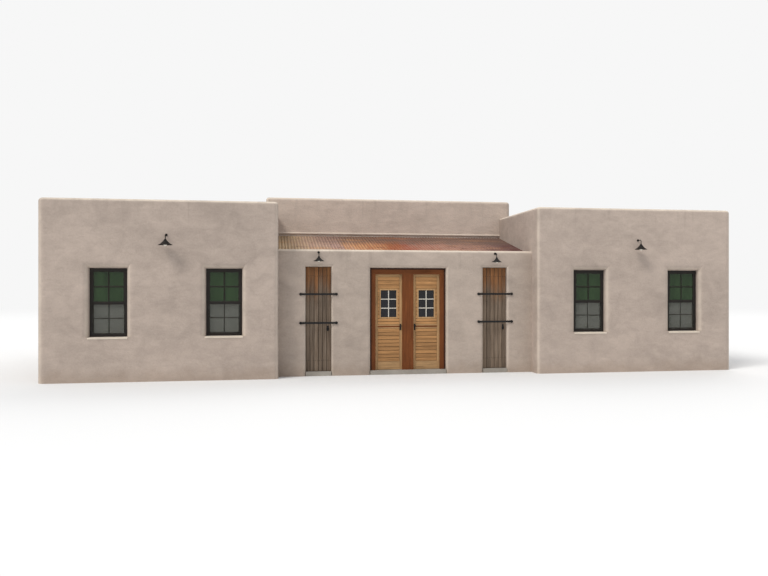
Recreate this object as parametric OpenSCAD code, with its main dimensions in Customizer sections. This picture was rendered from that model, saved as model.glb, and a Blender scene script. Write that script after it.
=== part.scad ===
// Flat-roofed adobe house: two wings either side of a recessed entry, with a taller hall behind.
// Front view looks along +Y. The origin lies under the middle of the footprint, at ground level.

/* [Overall] */
// Width of each wing
wing_w = 4980; // [4600:20:6200]
// Width of the recessed entry front between the wings
entry_w = 5980; // [5700:20:7200]
// Depth of the house from the wing fronts to the back wall
house_depth = 11000; // [10000:100:14000]
// Height of the wing parapets
wing_h = 3940; // [3800:20:4400]
// Height of the hall parapet
hall_h = 4400; // [4350:10:5300]
// How far the entry front stands back from the wing fronts
entry_setback = 500; // [450:10:700]
// How far the hall front stands back from the wing fronts
hall_setback = 3700; // [3000:50:4600]
// How far the hall reaches behind each wing's inner corner
hall_over = 300; // [200:10:340]

/* [Walls] */
// Thickness of the walls below the roof decks
wall_t = 400; // [350:10:480]
// Thickness of the parapets above the roof decks
parapet_t = 300; // [240:10:340]
// Rounding of the parapet tops
top_r = 75; // [30:5:100]
// Rounding of the house's outer corners
outer_corner_r = 150; // [100:10:200]
// Rounding of the corners beside the entry and of the hall
inner_corner_r = 100; // [100:5:140]
// Rounding of the plaster round the windows
reveal_r = 140; // [60:5:150]
// Rounding of the plaster round the doorways
doorway_r = 70; // [20:5:80]

/* [Floor and roofs] */
// Thickness of the floor slab
slab_t = 100; // [80:5:150]
// Thickness of the flat roof decks
deck_t = 150; // [100:10:200]
// Height of the wing roof decks
wing_deck_z = 3400; // [3300:10:3500]
// Height of the hall roof deck
hall_deck_z = 3900; // [3850:10:4100]

/* [Entry roof] */
// Height of the coping over the entry front
entry_h = 2910; // [2850:10:3000]
// Thickness of the coping wall in front of the entry roof
coping_t = 200; // [170:5:220]
// Height of the seat that carries the low rafter ends
rafter_seat_z = 2660; // [2620:5:2700]
// Height of the roof sheet where it meets the hall
entry_roof_top_z = 3400; // [3350:10:3500]
// Depth of the rafters
rafter_d = 140; // [100:5:160]
// Width of the rafters
rafter_w = 70; // [50:5:100]
// Number of rafters
rafter_count = 6; // [4:1:9]
// Thickness of the purlins
purlin_t = 38; // [25:1:50]
// Number of purlins
purlin_count = 5; // [3:1:7]
// Pitch of the corrugations
wave_pitch = 76; // [60:1:120]
// Depth of the corrugations
wave_d = 18; // [12:1:26]
// Thickness of the roof sheet
sheet_t = 3; // [2:0.5:5]
// Radius of the plaster lip that sheds water over the head of the roof sheet
lip_r = 30; // [20:5:45]
// Gap at each side of the purlins and the roof sheet
roof_side_gap = 2; // [1:1:10]

/* [Windows] */
// Width of each window
win_w = 770; // [600:10:930]
// Height of each window
win_h = 1480; // [1200:10:1800]
// Height of the window sills
sill_z = 970; // [850:10:1050]
// Depth of the windows behind the wall face
win_recess = 160; // [150:5:200]
// Distance of the left wing's inner window from the wing's inner corner
left_win_inset = 1170; // [1000:10:1350]
// Distance of the right wing's inner window from the wing's inner corner
right_win_inset = 1320; // [1000:10:1400]
// Spacing of the two windows of a wing front
win_spacing = 2410; // [2000:10:2600]
// Spacing of the side windows
side_win_spacing = 2900; // [2400:50:3300]
// Spacing of the hall's back windows
hall_win_spacing = 2700; // [2200:50:3200]
// Face width of the window frames
frame_w = 38; // [30:1:50]
// Depth of the window frames
frame_d = 80; // [76:1:100]
// Face width of the sashes
sash_w = 42; // [34:1:55]
// Thickness of the sashes
sash_t = 32; // [28:1:34]
// Thickness of the glass
glass_t = 6; // [4:1:10]
// Thickness of the sills
sill_t = 50; // [35:5:70]
// How far the sills stand proud of the wall
sill_proud = 15; // [15:5:50]
// How far the sills run past each side of the window
sill_side = 20; // [10:5:60]

/* [Entry doors] */
// Width of the doorway
door_w = 1790; // [1480:10:2150]
// Height of the doorway's head
door_head_z = 2490; // [2400:10:2520]
// Depth of the door frame behind the wall face
door_recess = 120; // [80:5:140]
// Depth of the door frame
door_frame_d = 110; // [90:5:120]
// Face width of the door jambs
jamb_w = 130; // [100:5:150]
// Face width of the door frame's head
door_head_h = 145; // [110:5:170]
// Face width of the post between the two doors
mullion_w = 262; // [200:2:300]
// Thickness of the doors
leaf_t = 45; // [38:1:50]
// How far the frame's stops cover the door edges
stop_w = 15; // [12:1:25]
// Gap round the doors
door_gap = 5; // [5:1:8]
// Width of the door stiles
stile_w = 68; // [60:2:90]
// Width of the top rail
top_rail_w = 70; // [60:5:110]
// Width of the bottom rail
bottom_rail_w = 190; // [120:5:240]
// Width of the rail under the glazed light
lock_rail_w = 90; // [60:5:120]
// Height of the middle of the rail under the glazed light
lock_rail_z = 1116; // [1050:2:1180]
// How far the boarded panels lie back from each face of the door
panel_recess = 9; // [4:1:14]
// Distance of the glazed light from each side edge of the door
light_side = 142; // [120:2:170]
// Height of the glazed light
light_h = 635; // [500:5:700]
// Height of the light's lower edge
light_z = 1335; // [1300:5:1400]
// Width of the bead round the light
bead_w = 30; // [20:2:40]
// How far each door opens, shown for reference
door_open = 0; // [0:5:100]

/* [Hinges and knobs] */
// Radius of the hinge barrels
barrel_r = 9; // [8:0.5:11]
// Radius of the hinge pins
pin_r = 4; // [3:0.5:5]
// Running clearance round the pins
pin_gap = 0.3; // [0.2:0.05:0.5]
// Height of one hinge knuckle
knuckle_h = 34; // [26:2:44]
// Gap between the knuckles
knuckle_gap = 0.5; // [0.3:0.1:1]
// Thickness of the hinge plates
plate_t = 3; // [2:0.5:4]
// Length of the hinge plates
plate_l = 42; // [30:2:50]
// Radius of the door knobs
knob_r = 24; // [18:1:26]
// Distance of the knobs' middles from the doors' free edges
knob_back = 50; // [48:1:56]
// Height of the door knobs
knob_z = 1130; // [1050:5:1160]

/* [Narrow plank doors] */
// Width of each narrow doorway
plank_w = 580; // [500:10:640]
// Height of the narrow doorways' heads
plank_head_z = 2510; // [2400:10:2520]
// Distance of the narrow doorways' middles from the entry's middle
plank_x = 2085; // [1950:5:2150]
// Depth of the plank doors behind the wall face
plank_recess = 110; // [90:5:160]
// Thickness of the plank doors
plank_t = 45; // [35:1:60]
// Gap between the two leaves of a plank door
plank_gap = 4; // [2:1:8]
// Heights of the iron bars
bar_z = [1220, 1880]; // [1000:10:2200]
// Height of an iron bar
bar_h = 45; // [30:5:60]
// Thickness of an iron bar
bar_t = 10; // [8:1:14]
// How far a bar runs past each side of the doorway
bar_past = 115; // [115:5:130]
// Distance of a bar from the wall face
bar_standoff = 14; // [10:1:25]
// Radius of the bars' end bosses
boss_r = 32; // [25:1:36]

/* [Lamps and drains] */
// Width of the lamp shades over the narrow doors
entry_shade_d = 240; // [200:5:280]
// Height of those shades' brims
entry_shade_z = 2640; // [2620:5:2660]
// Width of the lamp shades on the wings
wing_shade_d = 290; // [240:5:320]
// Height of those shades' brims
wing_shade_z = 2950; // [2850:5:3000]
// Height of a lamp's stem over its shade
stem_h = 70; // [40:5:80]
// Radius of a lamp's stem
stem_r = 9; // [7:1:12]
// Radius of a lamp's bend
bend_r = 40; // [30:5:50]
// Radius of a lamp's wall rose
rose_r = 28; // [24:1:34]
// Thickness of a lamp's wall rose
rose_t = 12; // [8:1:16]
// Space between a shade and the wall
shade_space = 45; // [30:5:70]
// Width of a roof drain
drain_w = 160; // [120:5:200]
// Height of a roof drain
drain_h = 110; // [80:5:140]
// Sheet thickness of a roof drain
drain_t = 6; // [4:1:10]
// How far a roof drain runs out of the back wall
drain_out = 320; // [250:10:400]
// How far a roof drain reaches in from the parapet
drain_in = 40; // [20:5:80]

/* [Inner doorways] */
// Width of the wide opening between the entry room and the hall
hall_opening_w = 2400; // [1800:50:2600]
// Height of the wide opening
hall_opening_h = 2400; // [2200:50:2450]
// Width of the doorways between the hall and the wings
inner_door_w = 1000; // [800:50:1200]
// Height of the doorways between the hall and the wings
inner_door_h = 2100; // [2000:50:2300]

/* [Hidden] */
$fn = 64;

stucco = [0.72, 0.66, 0.61];
entry_stucco = [0.70, 0.66, 0.60];
concrete = [0.62, 0.60, 0.57];
membrane = [0.55, 0.53, 0.50];
rafter_wood = [0.52, 0.38, 0.25];
rusty_steel = [0.60, 0.33, 0.22];
bronze = [0.13, 0.10, 0.09];
pane = [0.35, 0.40, 0.45, 0.5];
sill_plaster = [0.82, 0.76, 0.68];
red_wood = [0.45, 0.24, 0.13];
tan_wood = [0.76, 0.55, 0.31];
grey_wood = [0.42, 0.34, 0.28];
black_iron = [0.10, 0.09, 0.09];
galvanized = [0.60, 0.61, 0.61];
bulb_white = [0.93, 0.91, 0.85];

cut = 1;
half_entry = entry_w / 2;
half_w = half_entry + wing_w;
hall_half_w = half_entry + hall_over;
ledge = wall_t - parapet_t;
wing_ledge_z = wing_deck_z - deck_t;
hall_ledge_z = hall_deck_z - deck_t;
entry_inner_y = entry_setback + wall_t;
coping_y = entry_setback + coping_t;
back_inner_y = house_depth - wall_t;
inner_door_y = (hall_setback + house_depth) / 2;

half_door = door_w / 2;
leaf_clear_w = (door_w - 2 * jamb_w - mullion_w) / 2;
leaf_w = leaf_clear_w + 2 * (stop_w - door_gap);
light_w = leaf_w - 2 * light_side;
leaf_out_x = half_door - jamb_w + stop_w - door_gap;
leaf_bottom_z = slab_t + door_gap;
leaf_top_z = door_head_z - door_head_h + stop_w - door_gap;
leaf_h = leaf_top_z - leaf_bottom_z;
door_front_y = entry_setback + door_recess;
door_back_y = door_front_y + door_frame_d;
leaf_front_y = door_back_y - leaf_t;
pin_x = leaf_out_x + door_gap / 2;
pin_y = door_back_y + barrel_r;
hinge_z = [for (share = [0.12, 0.5, 0.88]) leaf_bottom_z + share * leaf_h];

rafter_slope = atan((entry_roof_top_z - wave_d - sheet_t - purlin_t - rafter_seat_z - rafter_d)
    / (hall_setback - coping_y));
rafter_high_seat_z = rafter_top(hall_setback - ledge) - rafter_d / cos(rafter_slope);

mid_rail_z = sill_z + win_h / 2;
sash_set = 4;

lamp_cap_share = 0.38;
lamp_hollow_share = 0.74;
lamp_tip = 6;
bar_pin_h = 12;

left_window_x = [for (row = [0, 1]) half_entry + left_win_inset + row * win_spacing];
right_window_x = [for (row = [0, 1]) half_entry + right_win_inset + row * win_spacing];
side_windows = [for (row = [-1, 0, 1]) house_depth / 2 + row * side_win_spacing];
wing_back_x = (half_w + hall_half_w) / 2;
// Each place is [x, y, turn]: a point on the wall's outer face and the turn that faces into it
left_front_places = [for (x = left_window_x) [-x, 0, 0]];
right_front_places = [for (x = right_window_x) [x, 0, 0]];
left_side_places = [for (y = side_windows) [-half_w, y, -90]];
right_side_places = [for (y = side_windows) [half_w, y, 90]];
left_places = concat(left_front_places, left_side_places);
right_places = concat(right_front_places, right_side_places);
wing_back_places = [for (side = [-1, 1]) [side * wing_back_x, house_depth, 180]];
hall_back_places = [for (side = [-1, 1]) [side * hall_win_spacing / 2, house_depth, 180]];
back_places = concat(wing_back_places, hall_back_places);

wing_drain_x = wing_back_x + win_w;
drain_places = [
    [-wing_drain_x, house_depth, 180, wing_deck_z],
    [wing_drain_x, house_depth, 180, wing_deck_z],
    [0, house_depth, 180, hall_deck_z]
];
lamp_places = [
    [-(left_window_x[0] + left_window_x[1]) / 2, 0, wing_shade_d, wing_shade_z],
    [(right_window_x[0] + right_window_x[1]) / 2, 0, wing_shade_d, wing_shade_z],
    [-plank_x, entry_setback, entry_shade_d, entry_shade_z],
    [plank_x, entry_setback, entry_shade_d, entry_shade_z]
];

// Height of the rafters' top faces at a distance back from the wing fronts
function rafter_top(y) = rafter_seat_z + rafter_d + (y - coping_y) * tan(rafter_slope);

// Moves the house's own frame, which starts at the wing fronts, to the middle of the footprint
module placed() {
    translate([0, -house_depth / 2, 0]) children();
}

// Draws a left piece as it is, or its mirror image on the right
module on_side(side) {
    mirror([side > 0 ? 1 : 0, 0, 0]) children();
}

// Draws a piece at each place of a list
module at_places(places) {
    for (place = places)
        translate([place[0], place[1], 0]) rotate([0, 0, place[2]]) children();
}

module box(low, high) {
    translate(low) cube([high[0] - low[0], high[1] - low[1], high[2] - low[2]]);
}

// Outline of a wall end: outer face at x = 0, a roof ledge inside and a rounded parapet on top
module wall_profile(thick, high, ledge_z, upper_thick) {
    square([thick, ledge_z]);
    difference() {
        square([upper_thick, high]);
        translate([0, high - top_r]) corner_waste(top_r, 0);
        translate([upper_thick, high - top_r]) corner_waste(top_r, 1);
    }
}

// Waste outside a quarter round, at the left or the right of a top edge
module corner_waste(r, right) {
    mirror([right, 0, 0]) difference() {
        translate([-cut, 0]) square([r + cut, r + cut]);
        translate([r, 0]) circle(r);
    }
}

// Wall that runs along x from its outer face at y = 0
module wall_run(long, high, ledge_z, thick = wall_t, upper_thick = parapet_t) {
    rotate([90, 0, 90]) linear_extrude(long) wall_profile(thick, high, ledge_z, upper_thick);
}

// Upright quarter round that fills a corner from x = 0 and y = 0 inwards, with the rounded top
module corner_fill(r, high, low = 0) {
    translate([r, r, low]) rotate([0, 0, 180]) rotate_extrude(angle = 90) difference() {
        square([r, high - low]);
        translate([r, high - low - top_r]) corner_waste(top_r, 1);
    }
}

module slab_outline() {
    difference() {
        translate([-half_w + wall_t, wall_t]) square([2 * (half_w - wall_t), back_inner_y - wall_t]);
        translate([-half_entry - wall_t, 0]) square([entry_w + 2 * wall_t, entry_inner_y]);
    }
    translate([-half_door, entry_setback]) square([door_w, wall_t]);
    for (side = [-1, 1])
        translate([side * plank_x - plank_w / 2, entry_setback]) square([plank_w, wall_t]);
}

module slab_solid() {
    linear_extrude(slab_t) slab_outline();
}

module floor_slab() {
    color(concrete) placed() slab_solid();
}

// Plaster waste that rounds the sides and the top of an opening at the outer face y = 0
module reveal_waste(width, low_z, high_z, r) {
    side_x = width / 2 + r;
    tall = high_z + r - low_z;
    difference() {
        box([-side_x, -cut, low_z], [side_x, r, high_z + r]);
        for (side = [-1, 1])
            translate([side * side_x, r, low_z - cut]) cylinder(r = r, h = tall + 2 * cut);
        translate([-side_x - cut, r, high_z + r]) rotate([0, 90, 0])
            cylinder(r = r, h = 2 * (side_x + cut));
    }
}

// Hole for a window with rounded sides and the notch that takes its sill
module window_cut() {
    box([-win_w / 2, -cut, sill_z], [win_w / 2, wall_t + cut, sill_z + win_h]);
    box([-win_w / 2 - sill_side, -cut, sill_z - sill_t], [win_w / 2 + sill_side, win_recess, sill_z]);
    reveal_waste(win_w, sill_z, sill_z + win_h, reveal_r);
}

// Doorway through the entry front, with rounded sides
module doorway_cut(x, width, head_z) {
    translate([x, entry_setback, 0]) {
        box([-width / 2, -cut, -cut], [width / 2, wall_t + cut, head_z]);
        reveal_waste(width, -cut, head_z, doorway_r);
    }
}

module drain_cut() {
    for (place = drain_places)
        translate([place[0], place[1], place[3]]) rotate([0, 0, place[2]])
            box([-drain_w / 2, -cut, 0], [drain_w / 2, wall_t, drain_h]);
}

// Walls of a wing, drawn on the left
module wing_front_wall(window_x) {
    long = wing_w - outer_corner_r - inner_corner_r;
    difference() {
        union() {
            translate([-half_w + outer_corner_r, 0, 0]) wall_run(long, wing_h, wing_ledge_z);
            translate([-half_w, 0, 0]) corner_fill(outer_corner_r, wing_h);
            translate([-half_entry, 0, 0]) mirror([1, 0, 0]) corner_fill(inner_corner_r, wing_h);
            translate([-half_w, wall_t, 0]) rotate([0, 0, -90])
                wall_run(wall_t - outer_corner_r, wing_h, wing_ledge_z);
            translate([-half_entry, inner_corner_r, 0]) rotate([0, 0, 90])
                wall_run(wall_t - inner_corner_r, wing_h, wing_ledge_z);
        }
        for (x = window_x) translate([-x, 0, 0]) window_cut();
    }
}

module wing_side_wall() {
    difference() {
        translate([-half_w, back_inner_y, 0]) rotate([0, 0, -90])
            wall_run(back_inner_y - wall_t, wing_h, wing_ledge_z);
        at_places(left_side_places) window_cut();
    }
}

module wing_inner_wall() {
    difference() {
        translate([-half_entry, wall_t, 0]) rotate([0, 0, 90])
            wall_run(hall_setback - wall_t, wing_h, wing_ledge_z);
        slab_solid();
    }
}

module wing_back_wall() {
    long = half_w - hall_half_w - outer_corner_r;
    difference() {
        union() {
            translate([-hall_half_w, house_depth, 0]) rotate([0, 0, 180])
                wall_run(long, wing_h, wing_ledge_z);
            translate([-half_w, house_depth, 0]) mirror([0, 1, 0]) corner_fill(outer_corner_r, wing_h);
            translate([-half_w, house_depth - outer_corner_r, 0]) rotate([0, 0, -90])
                wall_run(wall_t - outer_corner_r, wing_h, wing_ledge_z);
        }
        at_places(wing_back_places) window_cut();
        drain_cut();
    }
}

module left_wing_front_wall() {
    color(stucco) placed() wing_front_wall(left_window_x);
}

module left_wing_side_wall() {
    color(stucco) placed() wing_side_wall();
}

module left_wing_inner_wall() {
    color(stucco) placed() wing_inner_wall();
}

module left_wing_back_wall() {
    color(stucco) placed() wing_back_wall();
}

module right_wing_front_wall() {
    color(stucco) placed() on_side(1) wing_front_wall(right_window_x);
}

module right_wing_side_wall() {
    color(stucco) placed() on_side(1) wing_side_wall();
}

module right_wing_inner_wall() {
    color(stucco) placed() on_side(1) wing_inner_wall();
}

module right_wing_back_wall() {
    color(stucco) placed() on_side(1) wing_back_wall();
}

// Wall of the entry front with the thinner coping that hides the rafter ends
module entry_wall(low_x, high_x) {
    translate([low_x, entry_setback, 0])
        wall_run(high_x - low_x, entry_h, rafter_seat_z, wall_t, coping_t);
}

module entry_wall_left() {
    color(entry_stucco) placed() difference() {
        entry_wall(-half_entry, -half_door);
        doorway_cut(-plank_x, plank_w, plank_head_z);
        doorway_cut(0, door_w, door_head_z);
    }
}

module entry_wall_right() {
    color(entry_stucco) placed() difference() {
        entry_wall(half_door, half_entry);
        doorway_cut(plank_x, plank_w, plank_head_z);
        doorway_cut(0, door_w, door_head_z);
    }
}

module entry_wall_head() {
    color(entry_stucco) placed() difference() {
        entry_wall(-half_door, half_door);
        doorway_cut(0, door_w, door_head_z);
    }
}

// Front or back of the hall: square below the wings' parapets, with rounded corners above them
module hall_end_wall() {
    translate([-hall_half_w + inner_corner_r, 0, 0])
        wall_run(2 * (hall_half_w - inner_corner_r), hall_h, hall_ledge_z);
    for (side = [-1, 1]) on_side(side) translate([-hall_half_w, 0, 0]) {
        translate([0, wall_t, 0]) rotate([0, 0, -90])
            wall_run(wall_t - inner_corner_r, hall_h, hall_ledge_z);
        box([0, 0, 0], [inner_corner_r, inner_corner_r, wing_h]);
        corner_fill(inner_corner_r, hall_h, wing_h);
    }
}

// Front of the hall, with a seat for the rafters and a lip of plaster over the roof sheet
module hall_front_wall() {
    lip_z = entry_roof_top_z + 2 * lip_r;
    color(stucco) placed() difference() {
        union() {
            translate([0, hall_setback, 0]) hall_end_wall();
            box([-half_entry, hall_setback - ledge, 0], [half_entry, hall_setback, rafter_high_seat_z]);
            translate([-half_entry, hall_setback, lip_z]) rotate([0, 90, 0]) cylinder(r = lip_r, h = entry_w);
        }
        box([-hall_opening_w / 2, hall_setback - ledge - cut, -cut],
            [hall_opening_w / 2, hall_setback + wall_t + cut, slab_t + hall_opening_h]);
        slab_solid();
    }
}

// Side wall of the hall, drawn on the left, with a seat for the wing's roof deck on its outer side
module hall_side_wall() {
    inner_y = hall_setback + wall_t;
    difference() {
        union() {
            translate([-hall_half_w, back_inner_y, 0]) rotate([0, 0, -90])
                wall_run(back_inner_y - inner_y, hall_h, hall_ledge_z);
            box([-hall_half_w - ledge, hall_setback, 0], [-hall_half_w, back_inner_y, wing_ledge_z]);
        }
        box([-hall_half_w - ledge - cut, inner_door_y - inner_door_w / 2, -cut],
            [-hall_half_w + wall_t + cut, inner_door_y + inner_door_w / 2, slab_t + inner_door_h]);
        slab_solid();
    }
}

module hall_left_wall() {
    color(stucco) placed() hall_side_wall();
}

module hall_right_wall() {
    color(stucco) placed() on_side(1) hall_side_wall();
}

module hall_back_wall() {
    color(stucco) placed() difference() {
        translate([0, house_depth, 0]) rotate([0, 0, 180]) hall_end_wall();
        at_places(hall_back_places) window_cut();
        drain_cut();
    }
}

module deck(z) {
    translate([0, 0, z - deck_t]) linear_extrude(deck_t) children();
}

// Roof deck of a wing, drawn on the left: beside the entry roof it reaches the inner wall's parapet
module wing_deck() {
    deck(wing_deck_z) {
        translate([-half_w + parapet_t, parapet_t])
            square([wing_w - 2 * parapet_t, hall_setback - parapet_t]);
        translate([-half_w + parapet_t, hall_setback])
            square([half_w - parapet_t - hall_half_w, house_depth - parapet_t - hall_setback]);
    }
}

module left_wing_roof() {
    color(membrane) placed() wing_deck();
}

module right_wing_roof() {
    color(membrane) placed() on_side(1) wing_deck();
}

module hall_roof() {
    color(membrane) placed() deck(hall_deck_z)
        translate([-hall_half_w + parapet_t, hall_setback + parapet_t])
            square([2 * (hall_half_w - parapet_t), house_depth - hall_setback - 2 * parapet_t]);
}

// Sloping rafter with level seats on the entry front and on the hall
module rafter() {
    rotate([90, 0, 90]) linear_extrude(rafter_w) polygon([
        [coping_y, rafter_seat_z],
        [entry_inner_y, rafter_seat_z],
        [entry_inner_y, rafter_top(entry_inner_y) - rafter_d / cos(rafter_slope)],
        [hall_setback - ledge, rafter_high_seat_z],
        [hall_setback, rafter_high_seat_z],
        [hall_setback, rafter_top(hall_setback)],
        [coping_y, rafter_top(coping_y)]
    ]);
}

module entry_rafters() {
    step = (entry_w - rafter_w) / (rafter_count - 1);
    color(rafter_wood) placed()
        for (row = [0 : rafter_count - 1])
            translate([-half_entry + row * step, 0, 0]) rafter();
}

module on_slope() {
    translate([-half_entry, coping_y, rafter_top(coping_y)]) rotate([rafter_slope, 0, 0]) children();
}

module entry_purlins() {
    slope_l = (hall_setback - coping_y) / cos(rafter_slope);
    end_space = 60;
    step = (slope_l - 2 * end_space - rafter_w) / (purlin_count - 1);
    color(rafter_wood) placed() on_slope()
        for (row = [0 : purlin_count - 1])
            box([roof_side_gap, end_space + row * step, 0],
                [entry_w - roof_side_gap, end_space + row * step + rafter_w, purlin_t]);
}

// Corrugated sheet: one wave line for the top and the same line, lower by the sheet, for the underside
module entry_roof_sheet() {
    points_per_wave = 6;
    sheet_w = entry_w - 2 * roof_side_gap;
    waves = floor(sheet_w / wave_pitch);
    pitch = sheet_w / waves;
    steps = waves * points_per_wave;
    slope_l = (hall_setback - coping_y) / cos(rafter_slope);
    line = [for (i = [0 : steps])
        [roof_side_gap + i * pitch / points_per_wave, wave_d / 2 * (1 - cos(i * 360 / points_per_wave))]];
    color(rusty_steel) placed() on_slope() translate([0, slope_l - wave_d, purlin_t]) rotate([90, 0, 0])
        linear_extrude(slope_l - 2 * wave_d) polygon(concat(
            line,
            [for (i = [steps : -1 : 0]) [line[i][0], line[i][1] + sheet_t]]
        ));
}

// Ring of the given face width that fills a rectangle, from one depth to another
module ring(low, high, face) {
    difference() {
        box(low, high);
        box([low[0] + face, low[1] - cut, low[2] + face], [high[0] - face, high[1] + cut, high[2] - face]);
    }
}

// Single-hung window: a fixed upper sash outside and a lower sash inside, in one frame
module window_frame() {
    half = win_w / 2;
    inner = half - frame_w;
    back = win_recess + frame_d - sash_set;
    ring([-half, win_recess, sill_z], [half, win_recess + frame_d, sill_z + win_h], frame_w);
    front = win_recess + sash_set;
    ring([-inner, front, mid_rail_z - sash_w / 2],
        [inner, front + sash_t, sill_z + win_h - frame_w], sash_w);
    ring([-inner, back - sash_t, sill_z + frame_w], [inner, back, mid_rail_z + sash_w / 2], sash_w);
}

module window_panes() {
    inner = win_w / 2 - frame_w - sash_w;
    upper_y = win_recess + sash_set + (sash_t - glass_t) / 2;
    lower_y = win_recess + frame_d - sash_set - (sash_t + glass_t) / 2;
    box([-inner, upper_y, mid_rail_z + sash_w / 2],
        [inner, upper_y + glass_t, sill_z + win_h - frame_w - sash_w]);
    box([-inner, lower_y, sill_z + frame_w + sash_w], [inner, lower_y + glass_t, mid_rail_z - sash_w / 2]);
}

// Sloped plaster sill with a rounded nose, seated in its notch
module sill() {
    fall = sill_t / 5;
    nose_r = (sill_t - fall) / 2;
    low = sill_z - sill_t;
    translate([-win_w / 2 - sill_side, 0, 0]) rotate([90, 0, 90]) linear_extrude(win_w + 2 * sill_side) {
        translate([nose_r - sill_proud, low + nose_r]) circle(nose_r);
        polygon([
            [nose_r - sill_proud, low],
            [win_recess, low],
            [win_recess, sill_z],
            [nose_r - sill_proud, low + 2 * nose_r]
        ]);
    }
}

module left_window_frames() {
    color(bronze) placed() at_places(left_places) window_frame();
}

module left_window_glass() {
    color(pane) placed() at_places(left_places) window_panes();
}

module right_window_frames() {
    color(bronze) placed() at_places(right_places) window_frame();
}

module right_window_glass() {
    color(pane) placed() at_places(right_places) window_panes();
}

module back_window_frames() {
    color(bronze) placed() at_places(back_places) window_frame();
}

module back_window_glass() {
    color(pane) placed() at_places(back_places) window_panes();
}

module window_sills() {
    color(sill_plaster) placed() at_places(concat(left_places, right_places, back_places)) sill();
}

// Rebate that the doors close into, cut from the room side
module door_rebates() {
    for (side = [-1, 1])
        box([side * (leaf_out_x - leaf_w / 2) - leaf_w / 2 - door_gap, leaf_front_y - door_gap, slab_t],
            [side * (leaf_out_x - leaf_w / 2) + leaf_w / 2 + door_gap, door_back_y + cut, leaf_top_z + door_gap]);
}

module door_jambs() {
    color(red_wood) placed() difference() {
        for (side = [-1, 1])
            box([side * (half_door - jamb_w / 2) - jamb_w / 2, door_front_y, slab_t],
                [side * (half_door - jamb_w / 2) + jamb_w / 2, door_back_y, door_head_z - door_head_h]);
        door_rebates();
    }
}

module door_frame_head() {
    color(red_wood) placed() difference() {
        box([-half_door, door_front_y, door_head_z - door_head_h], [half_door, door_back_y, door_head_z]);
        door_rebates();
    }
}

module door_mullion() {
    color(red_wood) placed() difference() {
        box([-mullion_w / 2, door_front_y, slab_t], [mullion_w / 2, door_back_y, door_head_z - door_head_h]);
        door_rebates();
    }
}

// One door, drawn on the left side: stiles and rails round boarded panels and a beaded light
module door_leaf() {
    low_x = -leaf_out_x;
    high_x = leaf_w - leaf_out_x;
    mid_x = (low_x + high_x) / 2;
    bead_low = [mid_x - light_w / 2 - bead_w, leaf_front_y, light_z - bead_w];
    bead_high = [mid_x + light_w / 2 + bead_w, door_back_y, light_z + light_h + bead_w];
    difference() {
        union() {
            box([low_x, leaf_front_y + panel_recess, leaf_bottom_z], [high_x, door_back_y - panel_recess, leaf_top_z]);
            for (x = [low_x, high_x - stile_w])
                box([x, leaf_front_y, leaf_bottom_z], [x + stile_w, door_back_y, leaf_top_z]);
            box([low_x, leaf_front_y, leaf_bottom_z], [high_x, door_back_y, leaf_bottom_z + bottom_rail_w]);
            box([low_x, leaf_front_y, lock_rail_z - lock_rail_w / 2],
                [high_x, door_back_y, lock_rail_z + lock_rail_w / 2]);
            box([low_x, leaf_front_y, leaf_top_z - top_rail_w], [high_x, door_back_y, leaf_top_z]);
            box(bead_low, bead_high);
        }
        box([mid_x - light_w / 2, leaf_front_y - cut, light_z],
            [mid_x + light_w / 2, door_back_y + cut, light_z + light_h]);
    }
}

module door_glass() {
    mid_x = leaf_w / 2 - leaf_out_x;
    mid_y = (leaf_front_y + door_back_y) / 2;
    box([mid_x - light_w / 2, mid_y - glass_t / 2, light_z],
        [mid_x + light_w / 2, mid_y + glass_t / 2, light_z + light_h]);
}

// Knobs on both faces, in one piece with their spindle's roses
module door_knobs() {
    knob_x = leaf_w - leaf_out_x - knob_back;
    for (face = [-1, 1])
        translate([knob_x, face < 0 ? leaf_front_y : door_back_y, knob_z]) rotate([face * -90, 0, 0])
            rotate_extrude() {
                square([knob_r * 0.75, 5]);
                square([knob_r * 0.4, 30]);
                intersection() {
                    translate([0, 38]) circle(knob_r);
                    translate([0, 20]) square([knob_r, 32]);
                }
            }
}

// Knuckle on the moving side with its pin and plate, drawn at the left door
module moving_hinge() {
    pin_h = 3 * knuckle_h + 2 * knuckle_gap;
    translate([-pin_x, pin_y, -knuckle_h / 2]) cylinder(r = barrel_r, h = knuckle_h);
    translate([-pin_x, pin_y, -pin_h / 2]) cylinder(r = pin_r, h = pin_h);
    box([-pin_x, door_back_y, -knuckle_h / 2], [-pin_x + plate_l, door_back_y + plate_t, knuckle_h / 2]);
}

// Two knuckles on the jamb with their plates, drawn at the left door
module fixed_hinge() {
    for (side = [-1, 1])
        translate([-pin_x, pin_y, side * (knuckle_h + knuckle_gap) - knuckle_h / 2]) difference() {
            union() {
                cylinder(r = barrel_r, h = knuckle_h);
                box([-plate_l, -barrel_r, 0], [0, plate_t - barrel_r, knuckle_h]);
            }
            translate([0, 0, -cut]) cylinder(r = pin_r + pin_gap, h = knuckle_h + 2 * cut);
        }
}

module fixed_hinge_leaves() {
    color(black_iron) placed()
        for (side = [-1, 1], z = hinge_z) on_side(side) translate([0, 0, z]) fixed_hinge();
}

// Turns a left door about its hinge pins
module swung(turn) {
    translate([-pin_x, pin_y, 0]) rotate([0, 0, turn]) translate([pin_x, -pin_y, 0]) children();
}

module left_door_leaf() {
    color(tan_wood) placed() swung(door_open) door_leaf();
}

module left_door_glass() {
    color(pane) placed() swung(door_open) door_glass();
}

module door_fittings() {
    door_knobs();
    for (z = hinge_z) translate([0, 0, z]) moving_hinge();
}

module left_door_fittings() {
    color(black_iron) placed() swung(door_open) door_fittings();
}

module right_door_leaf() {
    color(tan_wood) placed() on_side(1) swung(door_open) door_leaf();
}

module right_door_glass() {
    color(pane) placed() on_side(1) swung(door_open) door_glass();
}

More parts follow.
